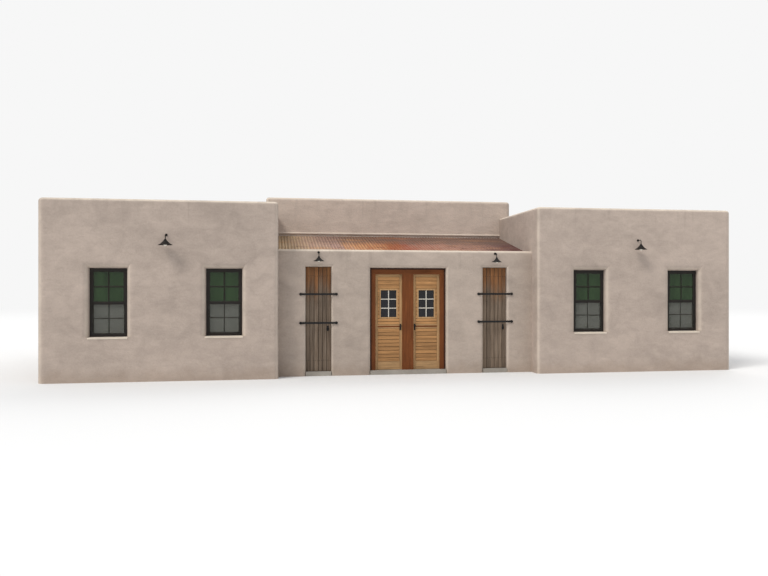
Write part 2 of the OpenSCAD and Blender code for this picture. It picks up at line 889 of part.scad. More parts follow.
module right_door_fittings() {
    color(black_iron) placed() on_side(1) swung(door_open) door_fittings();
}

// Two plank leaves that meet on a middle seam, with ledged backs
module plank_door(x) {
    front_y = entry_setback + plank_recess;
    batten_t = 25;
    batten_h = 110;
    width = (plank_w - plank_gap) / 2;
    for (side = [-1, 1]) {
        mid = x + side * (plank_gap + width) / 2;
        box([mid - width / 2, front_y, slab_t], [mid + width / 2, front_y + plank_t, plank_head_z]);
        for (z = bar_z)
            box([mid - width / 2, front_y + plank_t, z - batten_h / 2],
                [mid + width / 2, front_y + plank_t + batten_t, z + batten_h / 2]);
    }
}

module left_plank_door() {
    color(grey_wood) placed() plank_door(-plank_x);
}

module right_plank_door() {
    color(grey_wood) placed() plank_door(plank_x);
}

// Flat iron bars across the narrow doorways, on round bosses fixed to the wall
module plank_door_bars() {
    reach = plank_w / 2 + bar_past;
    color(black_iron) placed()
        for (side = [-1, 1], z = bar_z)
            translate([side * plank_x, entry_setback, z]) {
                box([-reach, -bar_standoff - bar_t, -bar_h / 2], [reach, -bar_standoff, bar_h / 2]);
                for (end = [-1, 1])
                    translate([end * reach, 0, 0]) rotate([90, 0, 0]) {
                        cylinder(r = boss_r, h = bar_standoff + bar_t);
                        cylinder(r = boss_r * 0.45, h = bar_standoff + bar_t + bar_pin_h);
                    }
            }
}

// Lamp on a bent stem: wall rose, stem, and a thin shade with a conical cap and a wide brim
module wall_lamp(shade_d) {
    reach = shade_d / 2 + shade_space;
    cap_h = shade_d * lamp_cap_share;
    shade_t = 4;
    top_z = cap_h + stem_h + bend_r;
    rotate_extrude() polygon([
        [0, cap_h + lamp_tip],
        [shade_d * 0.09, cap_h],
        [shade_d * 0.14, cap_h * 0.78],
        [shade_d * 0.32, cap_h * 0.28],
        [shade_d / 2, 0],
        [shade_d / 2, -shade_t],
        [shade_d * 0.31, cap_h * 0.28 - shade_t],
        [shade_d * 0.12, cap_h * lamp_hollow_share],
        [0, cap_h * lamp_hollow_share]
    ]);
    translate([0, 0, cap_h]) cylinder(r = stem_r, h = stem_h);
    translate([0, bend_r, cap_h + stem_h]) rotate([90, 0, -90])
        rotate_extrude(angle = 90) translate([bend_r, 0]) circle(stem_r);
    translate([0, bend_r, top_z]) rotate([-90, 0, 0]) cylinder(r = stem_r, h = reach - bend_r);
    translate([0, reach - rose_t, top_z]) rotate([-90, 0, 0]) cylinder(r = rose_r, h = rose_t);
}

module at_lamps() {
    for (place = lamp_places)
        translate([place[0], place[1] - place[2] / 2 - shade_space, place[3]]) {
            $shade = place[2];
            children();
        }
}

module wall_lamps() {
    color(black_iron) placed() at_lamps() wall_lamp($shade);
}

module lamp_bulbs() {
    color(bulb_white) placed() at_lamps() {
        bulb_r = $shade * 0.13;
        top = $shade * lamp_cap_share * lamp_hollow_share;
        cylinder(r = bulb_r * 0.45, h = top);
        translate([0, 0, bulb_r * 0.2]) sphere(r = bulb_r);
    }
}

// Open sheet-metal channel through the back parapet
module roof_drains() {
    color(galvanized) placed()
        for (place = drain_places)
            translate([place[0], place[1], place[3]]) rotate([0, 0, place[2]]) difference() {
                box([-drain_w / 2, -drain_out, 0], [drain_w / 2, parapet_t + drain_in, drain_h]);
                box([-drain_w / 2 + drain_t, -drain_out - cut, drain_t],
                    [drain_w / 2 - drain_t, parapet_t + drain_in + cut, drain_h + cut]);
            }
}

floor_slab();
left_wing_front_wall();
left_wing_side_wall();
left_wing_inner_wall();
left_wing_back_wall();
right_wing_front_wall();
right_wing_side_wall();
right_wing_inner_wall();
right_wing_back_wall();
entry_wall_left();
entry_wall_right();
entry_wall_head();
hall_front_wall();
hall_left_wall();
hall_right_wall();
hall_back_wall();
left_wing_roof();
right_wing_roof();
hall_roof();
entry_rafters();
entry_purlins();
entry_roof_sheet();
left_window_frames();
left_window_glass();
right_window_frames();
right_window_glass();
back_window_frames();
back_window_glass();
window_sills();
door_jambs();
door_frame_head();
door_mullion();
fixed_hinge_leaves();
left_door_leaf();
left_door_glass();
left_door_fittings();
right_door_leaf();
right_door_glass();
right_door_fittings();
left_plank_door();
right_plank_door();
plank_door_bars();
wall_lamps();
lamp_bulbs();
roof_drains();
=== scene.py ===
"""Adobe house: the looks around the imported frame.

Metres, +X to the right of the front, +Y into the house, +Z up. The origin lies under its middle.
"""

import math
import random

import bmesh
import bpy
from mathutils import Matrix, Vector, noise


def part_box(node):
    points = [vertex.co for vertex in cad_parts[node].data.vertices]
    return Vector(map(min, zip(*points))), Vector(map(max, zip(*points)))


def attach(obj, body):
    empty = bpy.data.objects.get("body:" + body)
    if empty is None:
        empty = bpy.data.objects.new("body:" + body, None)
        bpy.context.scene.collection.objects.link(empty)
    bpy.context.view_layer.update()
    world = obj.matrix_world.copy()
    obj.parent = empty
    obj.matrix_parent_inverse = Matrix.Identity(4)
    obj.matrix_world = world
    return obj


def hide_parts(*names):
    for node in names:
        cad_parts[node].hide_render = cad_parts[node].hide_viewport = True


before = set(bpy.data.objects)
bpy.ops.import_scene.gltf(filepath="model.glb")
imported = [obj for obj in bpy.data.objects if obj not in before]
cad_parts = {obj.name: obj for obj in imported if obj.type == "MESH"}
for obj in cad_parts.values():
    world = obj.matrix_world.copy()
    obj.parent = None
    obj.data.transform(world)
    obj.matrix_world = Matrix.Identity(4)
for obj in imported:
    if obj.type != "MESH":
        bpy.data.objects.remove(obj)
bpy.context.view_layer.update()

# Walls, from the frame
HALF_ENTRY, FRONT_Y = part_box("right_wing_front_wall")[0].xy
HALF_W, WING_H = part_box("right_wing_front_wall")[1].xz
BACK_Y, HALL_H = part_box("hall_back_wall")[1].yz
ENTRY_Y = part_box("entry_wall_right")[0].y
ENTRY_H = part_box("entry_wall_right")[1].z

# Windows: heights and depths are from the frame
WIN_W = 0.77
FRAME_W = 0.038
SASH_W = 0.042
FRAMES_LOW, FRAMES_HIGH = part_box("back_window_frames")
SILL_Z = FRAMES_LOW.z
WIN_H = FRAMES_HIGH.z - FRAMES_LOW.z
FRAME_D = FRAMES_HIGH.y - FRAMES_LOW.y
WIN_RECESS = BACK_Y - FRAMES_HIGH.y
MEETING_Z = SILL_Z + WIN_H / 2

# Places of the windows' middles at the walls' outer faces: x, y and turn in degrees
FRONT_PITCH = 2.41
HALL_WINDOW_X = 1.35
LEFT_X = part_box("left_window_frames")[1].x - WIN_W / 2
RIGHT_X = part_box("right_window_frames")[0].x + WIN_W / 2
SIDE_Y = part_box("left_window_frames")[1].y - WIN_W / 2
BACK_X = FRAMES_HIGH.x - WIN_W / 2
LEFT_WINDOWS = [(LEFT_X, FRONT_Y, 0), (LEFT_X - FRONT_PITCH, FRONT_Y, 0)]
LEFT_WINDOWS += [(-HALF_W, y, -90) for y in (-SIDE_Y, 0, SIDE_Y)]
RIGHT_WINDOWS = [(RIGHT_X, FRONT_Y, 0), (RIGHT_X + FRONT_PITCH, FRONT_Y, 0)]
RIGHT_WINDOWS += [(HALF_W, y, 90) for y in (-SIDE_Y, 0, SIDE_Y)]
BACK_WINDOWS = [(x, BACK_Y, 180) for x in (-BACK_X, BACK_X, -HALL_WINDOW_X, HALL_WINDOW_X)]

# Entry doors: the parts of a leaf
DOOR_STILE = 0.068
DOOR_TOP_RAIL = 0.07
DOOR_BOTTOM_RAIL = 0.19
LOCK_RAIL_Z = 1.116
LOCK_RAIL_W = 0.09
PANEL_RECESS = 0.009
BEAD_W = 0.03
KNOB_X = 0.171
KNOB_Z = 1.13

# Entry roof: eight lapped sheets on the slope of the CAD sheet
SHEET_COUNT = 8
SHEET_WAVES = 10
WAVE_RISE = 0.0085  # half of a wave's height
SHEET_T = 0.0012
CREST_UP = 0.0207  # what the waves of the CAD sheet add to the height and depth of its box
CREST_BACK = 0.0037
SHEET_LOW, SHEET_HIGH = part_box("entry_roof_sheet")
SHEET_W = (SHEET_HIGH.x - SHEET_LOW.x) / SHEET_COUNT
WAVE_PITCH = SHEET_W / SHEET_WAVES
SLOPE = math.atan2(SHEET_HIGH.z - SHEET_LOW.z - CREST_UP, SHEET_HIGH.y - SHEET_LOW.y - CREST_BACK)
SLOPE_L = (SHEET_HIGH.y - SHEET_LOW.y) / math.cos(SLOPE)

# Flat roofs: rolls of felt, and the drains' places
FELT_ROLLS = {"left_wing": 5, "right_wing": 5, "hall": 6}
DRAIN_W = 0.16
DRAIN_T = 0.006
DRAINS_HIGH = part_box("roof_drains")[1]
WING_DRAIN_X = DRAINS_HIGH.x - DRAIN_W / 2
DRAIN_X = {"left_wing": -WING_DRAIN_X, "right_wing": WING_DRAIN_X, "hall": 0}

# Wall lamps: the shade's width and the height of its brim
WING_LAMP = (0.29, 2.95)
ENTRY_LAMP = (0.24, 2.64)

# Colours, as scene-linear red, green and blue
STUCCO = (0.432, 0.354, 0.302)
STUCCO_DARK = (0.300, 0.238, 0.196)
# Pale cream of the painted highlights on stucco edges and tops, and of the sills
STUCCO_HIGHLIGHT = (0.680, 0.590, 0.490)
ENTRY_STUCCO = (0.424, 0.350, 0.296)
# Paler than the other stucco: painted light that makes up for the shade in the hall's recess
HALL_FRONT_LIT_STUCCO = (0.555, 0.458, 0.390)
SOIL = (0.270, 0.190, 0.130)
DUST = (0.300, 0.250, 0.200)
BRONZE = (0.011, 0.008, 0.006)
RED_WOOD = (0.164, 0.046, 0.008)
# Near-black red of the door's cover strips: painted shade round the door frame
CASING_SHADE_RED = (0.045, 0.013, 0.006)
TAN_WOOD = (0.440, 0.226, 0.088)
PALE_TAN_WOOD = (0.500, 0.300, 0.140)
GREY_WOOD = (0.165, 0.110, 0.075)
SILVERED_WOOD = (0.235, 0.205, 0.178)
FELT_GREY = (0.360, 0.325, 0.285)
IRON = (0.010, 0.009, 0.009)
# Green of the window glass: partly its own tint, partly a painted reflection of trees
PANE_TINT_AND_REFLECTION = (0.019, 0.038, 0.014)
BLIND_GREY = (0.132, 0.136, 0.118)


# Places and small solids

def on_wall(x, y, turn):
    """Matrix that puts what is drawn round the origin, with +Y into the wall, on a wall's outer face."""
    return Matrix.Translation((x, y, 0)) @ Matrix.Rotation(math.radians(turn), 4, "Z")


def facing_front(x, y, z):
    """Matrix that puts a lathed piece at a place, with its axis towards the front."""
    return Matrix.Translation((x, y, z)) @ Matrix.Rotation(math.radians(90), 4, "X")


def around(middle, width):
    """Both ends of a stretch, from its middle."""
    return middle - width / 2, middle + width / 2


def layer(face, way, start, thick):
    """Lowest and highest y of a layer on a face, counted outwards from the face."""
    return sorted((face + way * start, face + way * (start + thick)))


def both_sides(near, far):
    """The stretches from near to far, left and right of the middle."""
    return (-far, -near), (near, far)


class Solids:
    """Collects solids that make one piece."""

    def __init__(self):
        self.mesh = bmesh.new()

    def block(self, x, y, z, edge=0.002, place=None, edge_material=0):
        """A block over a stretch of each axis. Its eased edges may have their own material."""
        verts = bmesh.ops.create_cube(self.mesh, size=1)["verts"]
        for v in verts:
            v.co = [c * (high - low) + (low + high) / 2 for c, (low, high) in zip(v.co, (x, y, z))]
        if edge:
            edges = list(dict.fromkeys(e for v in verts for e in v.link_edges))
            made = bmesh.ops.bevel(self.mesh, geom=edges, offset=edge, segments=1, affect="EDGES")
            for face in made["faces"]:
                face.material_index = edge_material
            verts = list(dict.fromkeys(v for f in made["faces"] for v in f.verts))
        if place:
            bmesh.ops.transform(self.mesh, matrix=place, verts=verts)

    def bridge(self, near, far):
        """Faces between two closed loops of corners, one of which may be a point."""
        count = max(len(near), len(far))
        for i in range(count):
            j = (i + 1) % count
            corners = [near[i % len(near)], near[j % len(near)], far[j % len(far)], far[i % len(far)]]
            self.mesh.faces.new(list(dict.fromkeys(corners)))

    def lathe(self, profile, steps, place):
        """A solid turned round the z axis, from (radius, height) points that start and end on it."""
        turns = [2 * math.pi * i / steps for i in range(steps)]
        rings = []
        for radius, height in profile:
            angles = turns if radius else [0]
            points = [(radius * math.cos(a), radius * math.sin(a), height) for a in angles]
            rings.append([self.mesh.verts.new(point) for point in points])
        for near, far in zip(rings, rings[1:]):
            self.bridge(near, far)
        bmesh.ops.transform(self.mesh, matrix=place, verts=[v for ring in rings for v in ring])

    def ring(self, radius, wire, place):
        """A round wire bent to a ring about the z axis."""
        steps, sides = 28, 8
        loops = []
        for i in range(steps):
            a = 2 * math.pi * i / steps
            loop = []
            for k in range(sides):
                b = 2 * math.pi * k / sides
                r = radius + wire * math.cos(b)
                loop.append(self.mesh.verts.new((r * math.cos(a), r * math.sin(a), wire * math.sin(b))))
            loops.append(loop)
        for near, far in zip(loops, loops[1:] + loops[:1]):
            self.bridge(near, far)
        bmesh.ops.transform(self.mesh, matrix=place, verts=[v for loop in loops for v in loop])

    def sweep(self, path, profile):
        """A bar of one profile, with (inward, up) points, along level points and mitred at the corners."""
        ways = [(Vector(b) - Vector(a)).normalized() for a, b in zip(path, path[1:])]
        loops = []
        for i, place in enumerate(path):
            sides = [Vector((-way.y, way.x, 0)) for way in ways[max(i - 1, 0):i + 1]]
            side = sum(sides, Vector()) / len(sides)
            side /= side.length_squared
            points = [Vector(place) + side * inward + Vector((0, 0, up)) for inward, up in profile]
            loops.append([self.mesh.verts.new(point) for point in points])
        for near, far in zip(loops, loops[1:]):
            self.bridge(near, far)
        self.mesh.faces.new(loops[0])
        self.mesh.faces.new(list(reversed(loops[-1])))

    def piece(self, name, material, slot, body="house", smooth=0.5):
        """Makes the piece, which rides on a body and wears the given material. Its slot is not used.

        The surface looks smooth where it turns by less than an angle in radians.
        """
        bmesh.ops.recalc_face_normals(self.mesh, faces=self.mesh.faces)
        data = bpy.data.meshes.new(name)
        self.mesh.to_mesh(data)
        self.mesh.free()
        data.shade_smooth()
        data.set_sharp_from_angle(angle=smooth)
        obj = bpy.data.objects.new(name, data)
        bpy.context.scene.collection.objects.link(obj)
        materials = material if isinstance(material, tuple) else (material,)
        for one in materials:
            data.materials.append(one)
        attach(obj, body)
        return obj


# Materials

class Nodes:
    """A node tree that is built step by step."""

    def __init__(self, tree):
        self.tree = tree

    def feed(self, node, values):
        """Gives inputs of a node, by name or number, a constant or the output of another node."""
        for key, value in values.items():
            socket = node.inputs[key]
            if isinstance(value, bpy.types.NodeSocket):
                self.tree.links.new(value, socket)
            elif socket.type == "RGBA":
                socket.default_value = (*value, 1)
            else:
                socket.default_value = value

    def make(self, kind, values=None, **settings):
        """Makes a node with its settings and feeds its inputs."""
        made = self.tree.nodes.new(kind)
        for name, value in settings.items():
            setattr(made, name, value)
        self.feed(made, values or {})
        return made


class Graph(Nodes):
    """A material's nodes. Its pattern lies in the piece's own coordinates."""

    def __init__(self, name, roughness, metallic=0.0, specular=0.5):
        self.material = bpy.data.materials.new(name)
        self.material.use_nodes = True
        super().__init__(self.material.node_tree)
        self.shader = self.tree.nodes["Principled BSDF"]
        values = {"Roughness": roughness, "Metallic": metallic, "Specular IOR Level": specular}
        self.feed(self.shader, values)
        self.place = self.make("ShaderNodeTexCoord").outputs["Object"]
        self.x, self.y, self.z = self.make("ShaderNodeSeparateXYZ", {0: self.place}).outputs

    def scaled(self, x, y, z):
        """The piece's coordinates, multiplied along each axis."""
        values = {0: self.place, 1: (x, y, z)}
        return self.make("ShaderNodeVectorMath", values, operation="MULTIPLY").outputs[0]

    def noise(self, scale, detail=2.0, roughness=0.5, vector=None, distortion=0.0):
        values = {"Vector": vector or self.place, "Scale": scale, "Detail": detail, "Roughness": roughness}
        return self.make("ShaderNodeTexNoise", {**values, "Distortion": distortion}).outputs[0]

    def cracks(self, scale):
        """Distance to the nearest line of a cracked pattern."""
        bend = self.make("ShaderNodeTexNoise", {"Vector": self.place, "Scale": scale * 2.5, "Detail": 4})
        bent = self.make("ShaderNodeVectorMath", {0: self.place, 1: bend.outputs["Color"]}, operation="ADD")
        values = {"Vector": bent.outputs[0], "Scale": scale}
        return self.make("ShaderNodeTexVoronoi", values, feature="DISTANCE_TO_EDGE").outputs["Distance"]

    def math(self, kind, a, b=0.0, clamp=False):
        return self.make("ShaderNodeMath", {0: a, 1: b}, operation=kind, use_clamp=clamp).outputs[0]

    def plus(self, a, b):
        return self.math("ADD", a, b)

    def minus(self, a, b):
        return self.math("SUBTRACT", a, b)

    def times(self, a, b):
        return self.math("MULTIPLY", a, b)

    def zigzag(self, value, half):
        """Rises from 0 to 1 over a half length, falls back over the next, and so on."""
        return self.math("DIVIDE", self.math("PINGPONG", value, half), half)

    def rise(self, value, low, high, to_low=0.0, to_high=1.0):
        """Smooth step from one value to another."""
        values = {"Value": value, "From Min": low, "From Max": high, "To Min": to_low, "To Max": to_high}
        return self.make("ShaderNodeMapRange", values, interpolation_type="SMOOTHSTEP").outputs[0]

    def per_step(self, value, pitch, seed):
        """A random number that is the same all along each step of the given length."""
        step = self.math("FLOOR", self.math("DIVIDE", value, pitch))
        values = {"W": self.plus(step, seed)}
        return self.make("ShaderNodeTexWhiteNoise", values, noise_dimensions="1D").outputs["Value"]

    def per_part(self):
        """A random number for each separate board or sheet of a piece."""
        return self.make("ShaderNodeNewGeometry").outputs["Random Per Island"]

    def turn_of_face(self):
        """The upward share of the face's direction, and how far the face lies from square to the walls."""
        normal = self.make("ShaderNodeNewGeometry").outputs["Normal"]
        parts = self.make("ShaderNodeSeparateXYZ", {0: normal}).outputs
        sizes = [self.math("ABSOLUTE", part) for part in parts]
        most = self.math("MAXIMUM", self.math("MAXIMUM", sizes[0], sizes[1]), sizes[2])
        return parts[2], self.minus(1, most)

    def ramp(self, value, *stops):
        """Runs through colours as the value passes their places."""
        made = self.make("ShaderNodeValToRGB", {0: value})
        elements = made.color_ramp.elements
        while len(elements) < len(stops):
            elements.new(0.5)
        for element, (position, colour) in zip(elements, stops):
            element.position = position
            element.color = (*colour, 1)
        return made.outputs[0]

    def mix(self, a, b, share, blend="MIX"):
        values = {0: share, 6: a, 7: b}
        return self.make("ShaderNodeMix", values, data_type="RGBA", blend_type=blend).outputs[2]

    def shaded(self, colour, value, low, high):
        """The colour made darker or lighter by a value from 0 to 1."""
        level = self.rise(value, 0, 1, low, high)
        grey = self.make("ShaderNodeCombineXYZ", {i: level for i in range(3)}).outputs[0]
        return self.mix(colour, grey, 1.0, "MULTIPLY")

    def bump(self, height, distance, strength=1.0, under=None):
        values = {"Height": height, "Distance": distance, "Strength": strength}
        if under:
            values["Normal"] = under
        return self.make("ShaderNodeBump", values).outputs[0]

    def finish(self, colour, normal=None, roughness=None):
        """Puts colour, bumps and roughness on the surface, and returns the material."""
        values = {"Base Color": colour, "Normal": normal, "Roughness": roughness}
        self.feed(self.shader, {key: value for key, value in values.items() if value})
        return self.material


def tint(colour, share):
    return tuple(c * share for c in colour)


def stucco(name, colour, top_z):
    """Hand-trowelled plaster with water marks under the top edge, and a painted highlight along rounded
    edges and on upward faces.
    """
    g = Graph(name, 0.93, specular=0.25)
    broad = g.noise(0.45, 3, vector=g.scaled(1, 1, 1.4))
    middle = g.noise(1.9, 5, 0.62, distortion=0.7)
    trowel = g.noise(1.0, 4, 0.6, vector=g.scaled(5.5, 5.5, 11), distortion=0.9)
    fine = g.noise(26, 4, 0.7)
    sand = g.noise(150, 3, 0.75)
    strokes = g.noise(2.1, 5, 0.5, vector=g.scaled(1, 1, 2.2), distortion=0.7)
    tone = g.plus(g.times(broad, 0.5), g.times(middle, 0.5))
    base = g.ramp(tone, (0.32, tint(colour, 0.84)), (0.50, colour), (0.68, tint(colour, 1.12)))
    for pattern, depth in ((strokes, 0.11), (trowel, 0.07), (fine, 0.10), (sand, 0.12)):
        base = g.shaded(base, pattern, 1 - depth, 1 + depth)
    runs = g.noise(1.0, 4, 0.6, vector=g.scaled(6, 6, 0.3))
    top = g.rise(g.z, top_z - 0.8, top_z - 0.06)
    marks = g.times(g.rise(runs, 0.54, 0.74), top)
    base = g.mix(base, tint(colour, 0.72), g.times(marks, 0.45))
    splash = g.minus(g.z, g.times(g.noise(3.0, 4, 0.6), 0.5))
    foot = g.rise(splash, -0.22, 0.12, 1.0, 0.0)
    base = g.mix(base, SOIL, g.times(foot, 0.27))
    # Painted highlight: rounded edges and upward faces turn paler, as where light catches them
    upward, off_square = g.turn_of_face()
    edge_highlight = g.rise(off_square, 0.02, 0.22, 0.0, 0.42)
    painted_highlight = g.math("ADD", edge_highlight, g.rise(upward, 0.15, 0.9, 0.0, 0.8), clamp=True)
    painted_highlight = g.times(painted_highlight, g.rise(middle, 0.30, 0.62, 0.55, 1.0))
    base = g.mix(base, STUCCO_HIGHLIGHT, painted_highlight)
    crack = g.rise(g.cracks(0.55), 0.0, 0.006, 1.0, 0.0)
    crack = g.times(crack, g.rise(g.noise(0.9, 2), 0.56, 0.66))
    base = g.mix(base, STUCCO_DARK, g.times(crack, 0.5))
    normal = g.bump(middle, 0.010, 0.4, g.bump(strokes, 0.012, 0.6))
    normal = g.bump(fine, 0.006, 0.7, g.bump(trowel, 0.008, 0.7, normal))
    normal = g.bump(g.times(crack, -1.0), 0.002, 0.6, g.bump(sand, 0.0022, 0.8, normal))
    return g.finish(base, normal, g.rise(sand, 0.3, 0.7, 0.88, 0.98))


def concrete():
    g = Graph("rough_concrete", 0.9)
    broad, pits = g.noise(1.4, 4, 0.6), g.noise(70, 3, 0.7)
    base = g.ramp(broad, (0.3, (0.23, 0.205, 0.175)), (0.7, (0.38, 0.345, 0.30)))
    base = g.shaded(base, pits, 0.88, 1.1)
    return g.finish(base, g.bump(pits, 0.003, 0.7, g.bump(broad, 0.01, 0.4)))


def sill_plaster():
    # The sill's pale colour is a painted highlight on its sloped top
    g = Graph("sill_plaster", 0.85)
    broad, fine = g.noise(3.5, 4, 0.6), g.noise(120, 3, 0.6)
    base = g.ramp(broad, (0.3, tint(STUCCO_HIGHLIGHT, 0.85)), (0.7, tint(STUCCO_HIGHLIGHT, 1.05)))
    base = g.shaded(base, fine, 0.93, 1.06)
    return g.finish(base, g.bump(fine, 0.002, 0.5, g.bump(broad, 0.006, 0.5)))


def membrane(name, colour, seam_x=0.0, roll_w=0.0):
    """Roofing felt with mineral granules and old puddle rings, and with bitumen along its seams, if any."""
    g = Graph(name, 0.95)
    broad, puddle = g.noise(0.5, 4, 0.6), g.noise(0.8, 2, 0.5, distortion=0.8)
    grit = g.noise(260, 2, 0.8)
    base = g.ramp(broad, (0.3, tint(colour, 0.82)), (0.7, tint(colour, 1.16)))
    base = g.shaded(base, grit, 0.72, 1.28)
    ring = g.times(g.rise(puddle, 0.50, 0.545), g.rise(puddle, 0.545, 0.60, 1.0, 0.0))
    base = g.mix(base, tint(SOIL, 1.5), g.times(ring, 0.4))
    if roll_w:
        across = g.minus(g.x, seam_x)
        base = g.shaded(base, g.per_step(across, roll_w, 7), 0.90, 1.10)
        wander = g.times(g.noise(2.5, 4, 0.7), 0.03)
        past_seam = g.plus(g.math("FLOORED_MODULO", across, roll_w), wander)
        line = g.rise(g.math("ABSOLUTE", g.minus(past_seam, 0.065)), 0.004, 0.016, 1.0, 0.0)
        base = g.mix(base, tint(colour, 0.40), g.times(line, 0.75))
    return g.finish(base, g.bump(grit, 0.0025, 0.8, g.bump(broad, 0.01, 0.5)))


def roof_felt(name, rolls):
    """The felt of a flat roof, in rolls that lie from front to back."""
    low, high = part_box(name + "_roof")
    return membrane(name + "_felt", FELT_GREY, low.x, (high.x - low.x) / rolls)


def wood(name, colour, axis, weather=0.0, roughness=0.62, uneven=0.0):
    """Wood with its grain along an axis. Boards differ by the uneven share, and weather silvers them."""
    g = Graph(name, roughness, specular=0.25)

    def along_grain(across, along):
        return g.scaled(*(along if i == axis else across for i in range(3)))

    fibre = g.noise(1.0, 6, 0.62, vector=along_grain(26, 1.6), distortion=0.5)
    pores = g.noise(1.0, 3, 0.6, vector=along_grain(160, 5))
    blotch = g.noise(2.4, 3, 0.5)
    shades = ((0.26, 0.52), (0.45, 0.86), (0.62, 1), (0.80, 1.28))
    base = g.ramp(fibre, *((value, tint(colour, share)) for value, share in shades))
    base = g.shaded(base, pores, 0.80, 1.14)
    base = g.shaded(base, blotch, 0.84, 1.16)
    if uneven:
        base = g.shaded(base, g.per_part(), 1 - uneven, 1 + uneven)
    if weather:
        silver = g.noise(1.2, 4, 0.6, vector=g.scaled(3, 3, 0.8))
        base = g.mix(base, SILVERED_WOOD, g.times(g.rise(silver, 0.35, 0.7), weather))
    normal = g.bump(pores, 0.0007, 0.7, g.bump(fibre, 0.0022, 0.7))
    return g.finish(base, normal, g.rise(fibre, 0.3, 0.7, roughness + 0.12, roughness - 0.06))


def weathered_planks():
    """Door planks, red-brown under the head where they stay dry and silvered below."""
    g = Graph("weathered_planks", 0.8, specular=0.3)
    fibre = g.noise(1.0, 6, 0.65, vector=g.scaled(34, 34, 1.3), distortion=0.6)
    pores = g.noise(1.0, 3, 0.6, vector=g.scaled(210, 210, 5))
    plank = g.per_part()
    height = g.plus(g.z, g.times(g.noise(1.0, 4, 0.6, vector=g.scaled(9, 9, 0.9)), 1.1))
    height = g.plus(height, g.times(plank, 0.25))
    greys = ((0.075, 0.052, 0.036), (0.190, 0.140, 0.100), (0.285, 0.225, 0.170))
    reds = ((0.070, 0.026, 0.010), (0.245, 0.108, 0.040), (0.370, 0.185, 0.075))
    grey, red = (g.ramp(fibre, *zip((0.25, 0.55, 0.8), colours)) for colours in (greys, reds))
    base = g.mix(grey, red, g.rise(height, 2.35, 3.05))
    base = g.shaded(base, plank, 0.78, 1.15)
    base = g.shaded(base, pores, 0.75, 1.15)
    return g.finish(base, g.bump(pores, 0.0008, 0.8, g.bump(fibre, 0.003, 0.8)))


def rusted_sheet():
    """Corrugated steel, bare tan at the left, then orange and brick red, and purple-brown at the right."""
    g = Graph("rusted_sheet", 0.82, specular=0.15)
    crest = g.zigzag(g.minus(g.x, SHEET_LOW.x), WAVE_PITCH / 2)
    run = g.noise(1.0, 5, 0.65, vector=g.scaled(9, 0.8, 0.8))
    patch = g.noise(2.8, 5, 0.65, distortion=0.7)
    band = g.noise(1.0, 3, 0.6, vector=g.scaled(0.8, 3.0, 1))
    speck = g.noise(110, 3, 0.7)
    along = g.math("DIVIDE", g.plus(g.x, HALF_ENTRY), 2 * HALF_ENTRY)
    along = g.plus(along, g.times(g.minus(run, 0.5), 0.26))
    along = g.plus(along, g.times(g.minus(g.per_part(), 0.5), 0.08))
    base = g.ramp(
        along,
        (0.00, (0.480, 0.340, 0.200)),
        (0.10, (0.420, 0.280, 0.200)),
        (0.23, (0.360, 0.220, 0.180)),
        (0.33, (0.480, 0.240, 0.115)),
        (0.45, (0.300, 0.085, 0.026)),
        (0.55, (0.310, 0.092, 0.050)),
        (0.66, (0.360, 0.185, 0.130)),
        (0.80, (0.280, 0.150, 0.110)),
        (0.95, (0.110, 0.048, 0.042)),
    )
    base = g.mix(base, (0.125, 0.055, 0.040), g.times(g.rise(patch, 0.54, 0.72), 0.60))
    base = g.mix(base, (0.520, 0.270, 0.120), g.times(g.rise(band, 0.47, 0.32), 0.40))
    slope = g.plus(g.y, g.times(g.minus(run, 0.5), 0.9))
    head = g.times(g.rise(slope, -3.7, -2.7), g.rise(along, 0.08, 0.32, 0.25, 1.0))
    base = g.mix(base, (0.150, 0.098, 0.075), g.times(head, g.rise(band, 0.30, 0.6, 0.45, 0.85)))
    base = g.shaded(base, speck, 0.72, 1.25)
    # Painted shade in the valleys of the waves and a painted highlight on their crests
    base = g.shaded(base, crest, 0.74, 1.10)
    normal = g.bump(speck, 0.0008, 0.6, g.bump(patch, 0.002, 0.5))
    return g.finish(base, normal, g.rise(patch, 0.3, 0.7, 0.66, 0.9))


def painted_metal(name, colour, roughness, grain=160, dusty=0.1, specular=0.25):
    """Metal with a thin dull finish, slightly uneven and dusty on its upper faces."""
    g = Graph(name, roughness, specular=specular)
    cloud, fine = g.noise(4.0, 4, 0.6), g.noise(grain, 2, 0.6)
    base = g.ramp(cloud, (0.3, tint(colour, 0.75)), (0.7, tint(colour, 1.5)))
    base = g.shaded(base, fine, 0.8, 1.25)
    lies_up = g.rise(g.turn_of_face()[0], 0.3, 0.95)
    base = g.mix(base, DUST, g.times(lies_up, g.rise(cloud, 0.3, 0.8, dusty * 0.4, dusty)))
    dullness = g.rise(cloud, 0.3, 0.7, roughness - 0.07, roughness + 0.1)
    return g.finish(base, g.bump(fine, 0.0006, 0.5), dullness)


def brushed_paint(name, colour):
    """Paint on wood, with faint strokes of the brush."""
    g = Graph(name, 0.45)
    stroke = g.noise(90, 3, 0.6)
    base = g.ramp(g.noise(6.0, 4, 0.6), (0.3, tint(colour, 0.93)), (0.7, tint(colour, 1.06)))
    return g.finish(g.shaded(base, stroke, 0.96, 1.03), g.bump(stroke, 0.0004, 0.4))


def galvanized():
    g = Graph("galvanized", 0.45, metallic=0.85)
    spangle = g.make("ShaderNodeTexVoronoi", {"Vector": g.place, "Scale": 55}).outputs["Distance"]
    base = g.ramp(spangle, (0.1, (0.36, 0.37, 0.38)), (0.6, (0.52, 0.53, 0.53)))
    stain = g.rise(g.noise(6.0, 4, 0.6), 0.52, 0.72)
    base = g.mix(base, (0.24, 0.19, 0.15), g.times(stain, 0.6))
    return g.finish(base, g.bump(spangle, 0.0006, 0.4), g.rise(stain, 0, 1, 0.38, 0.75))


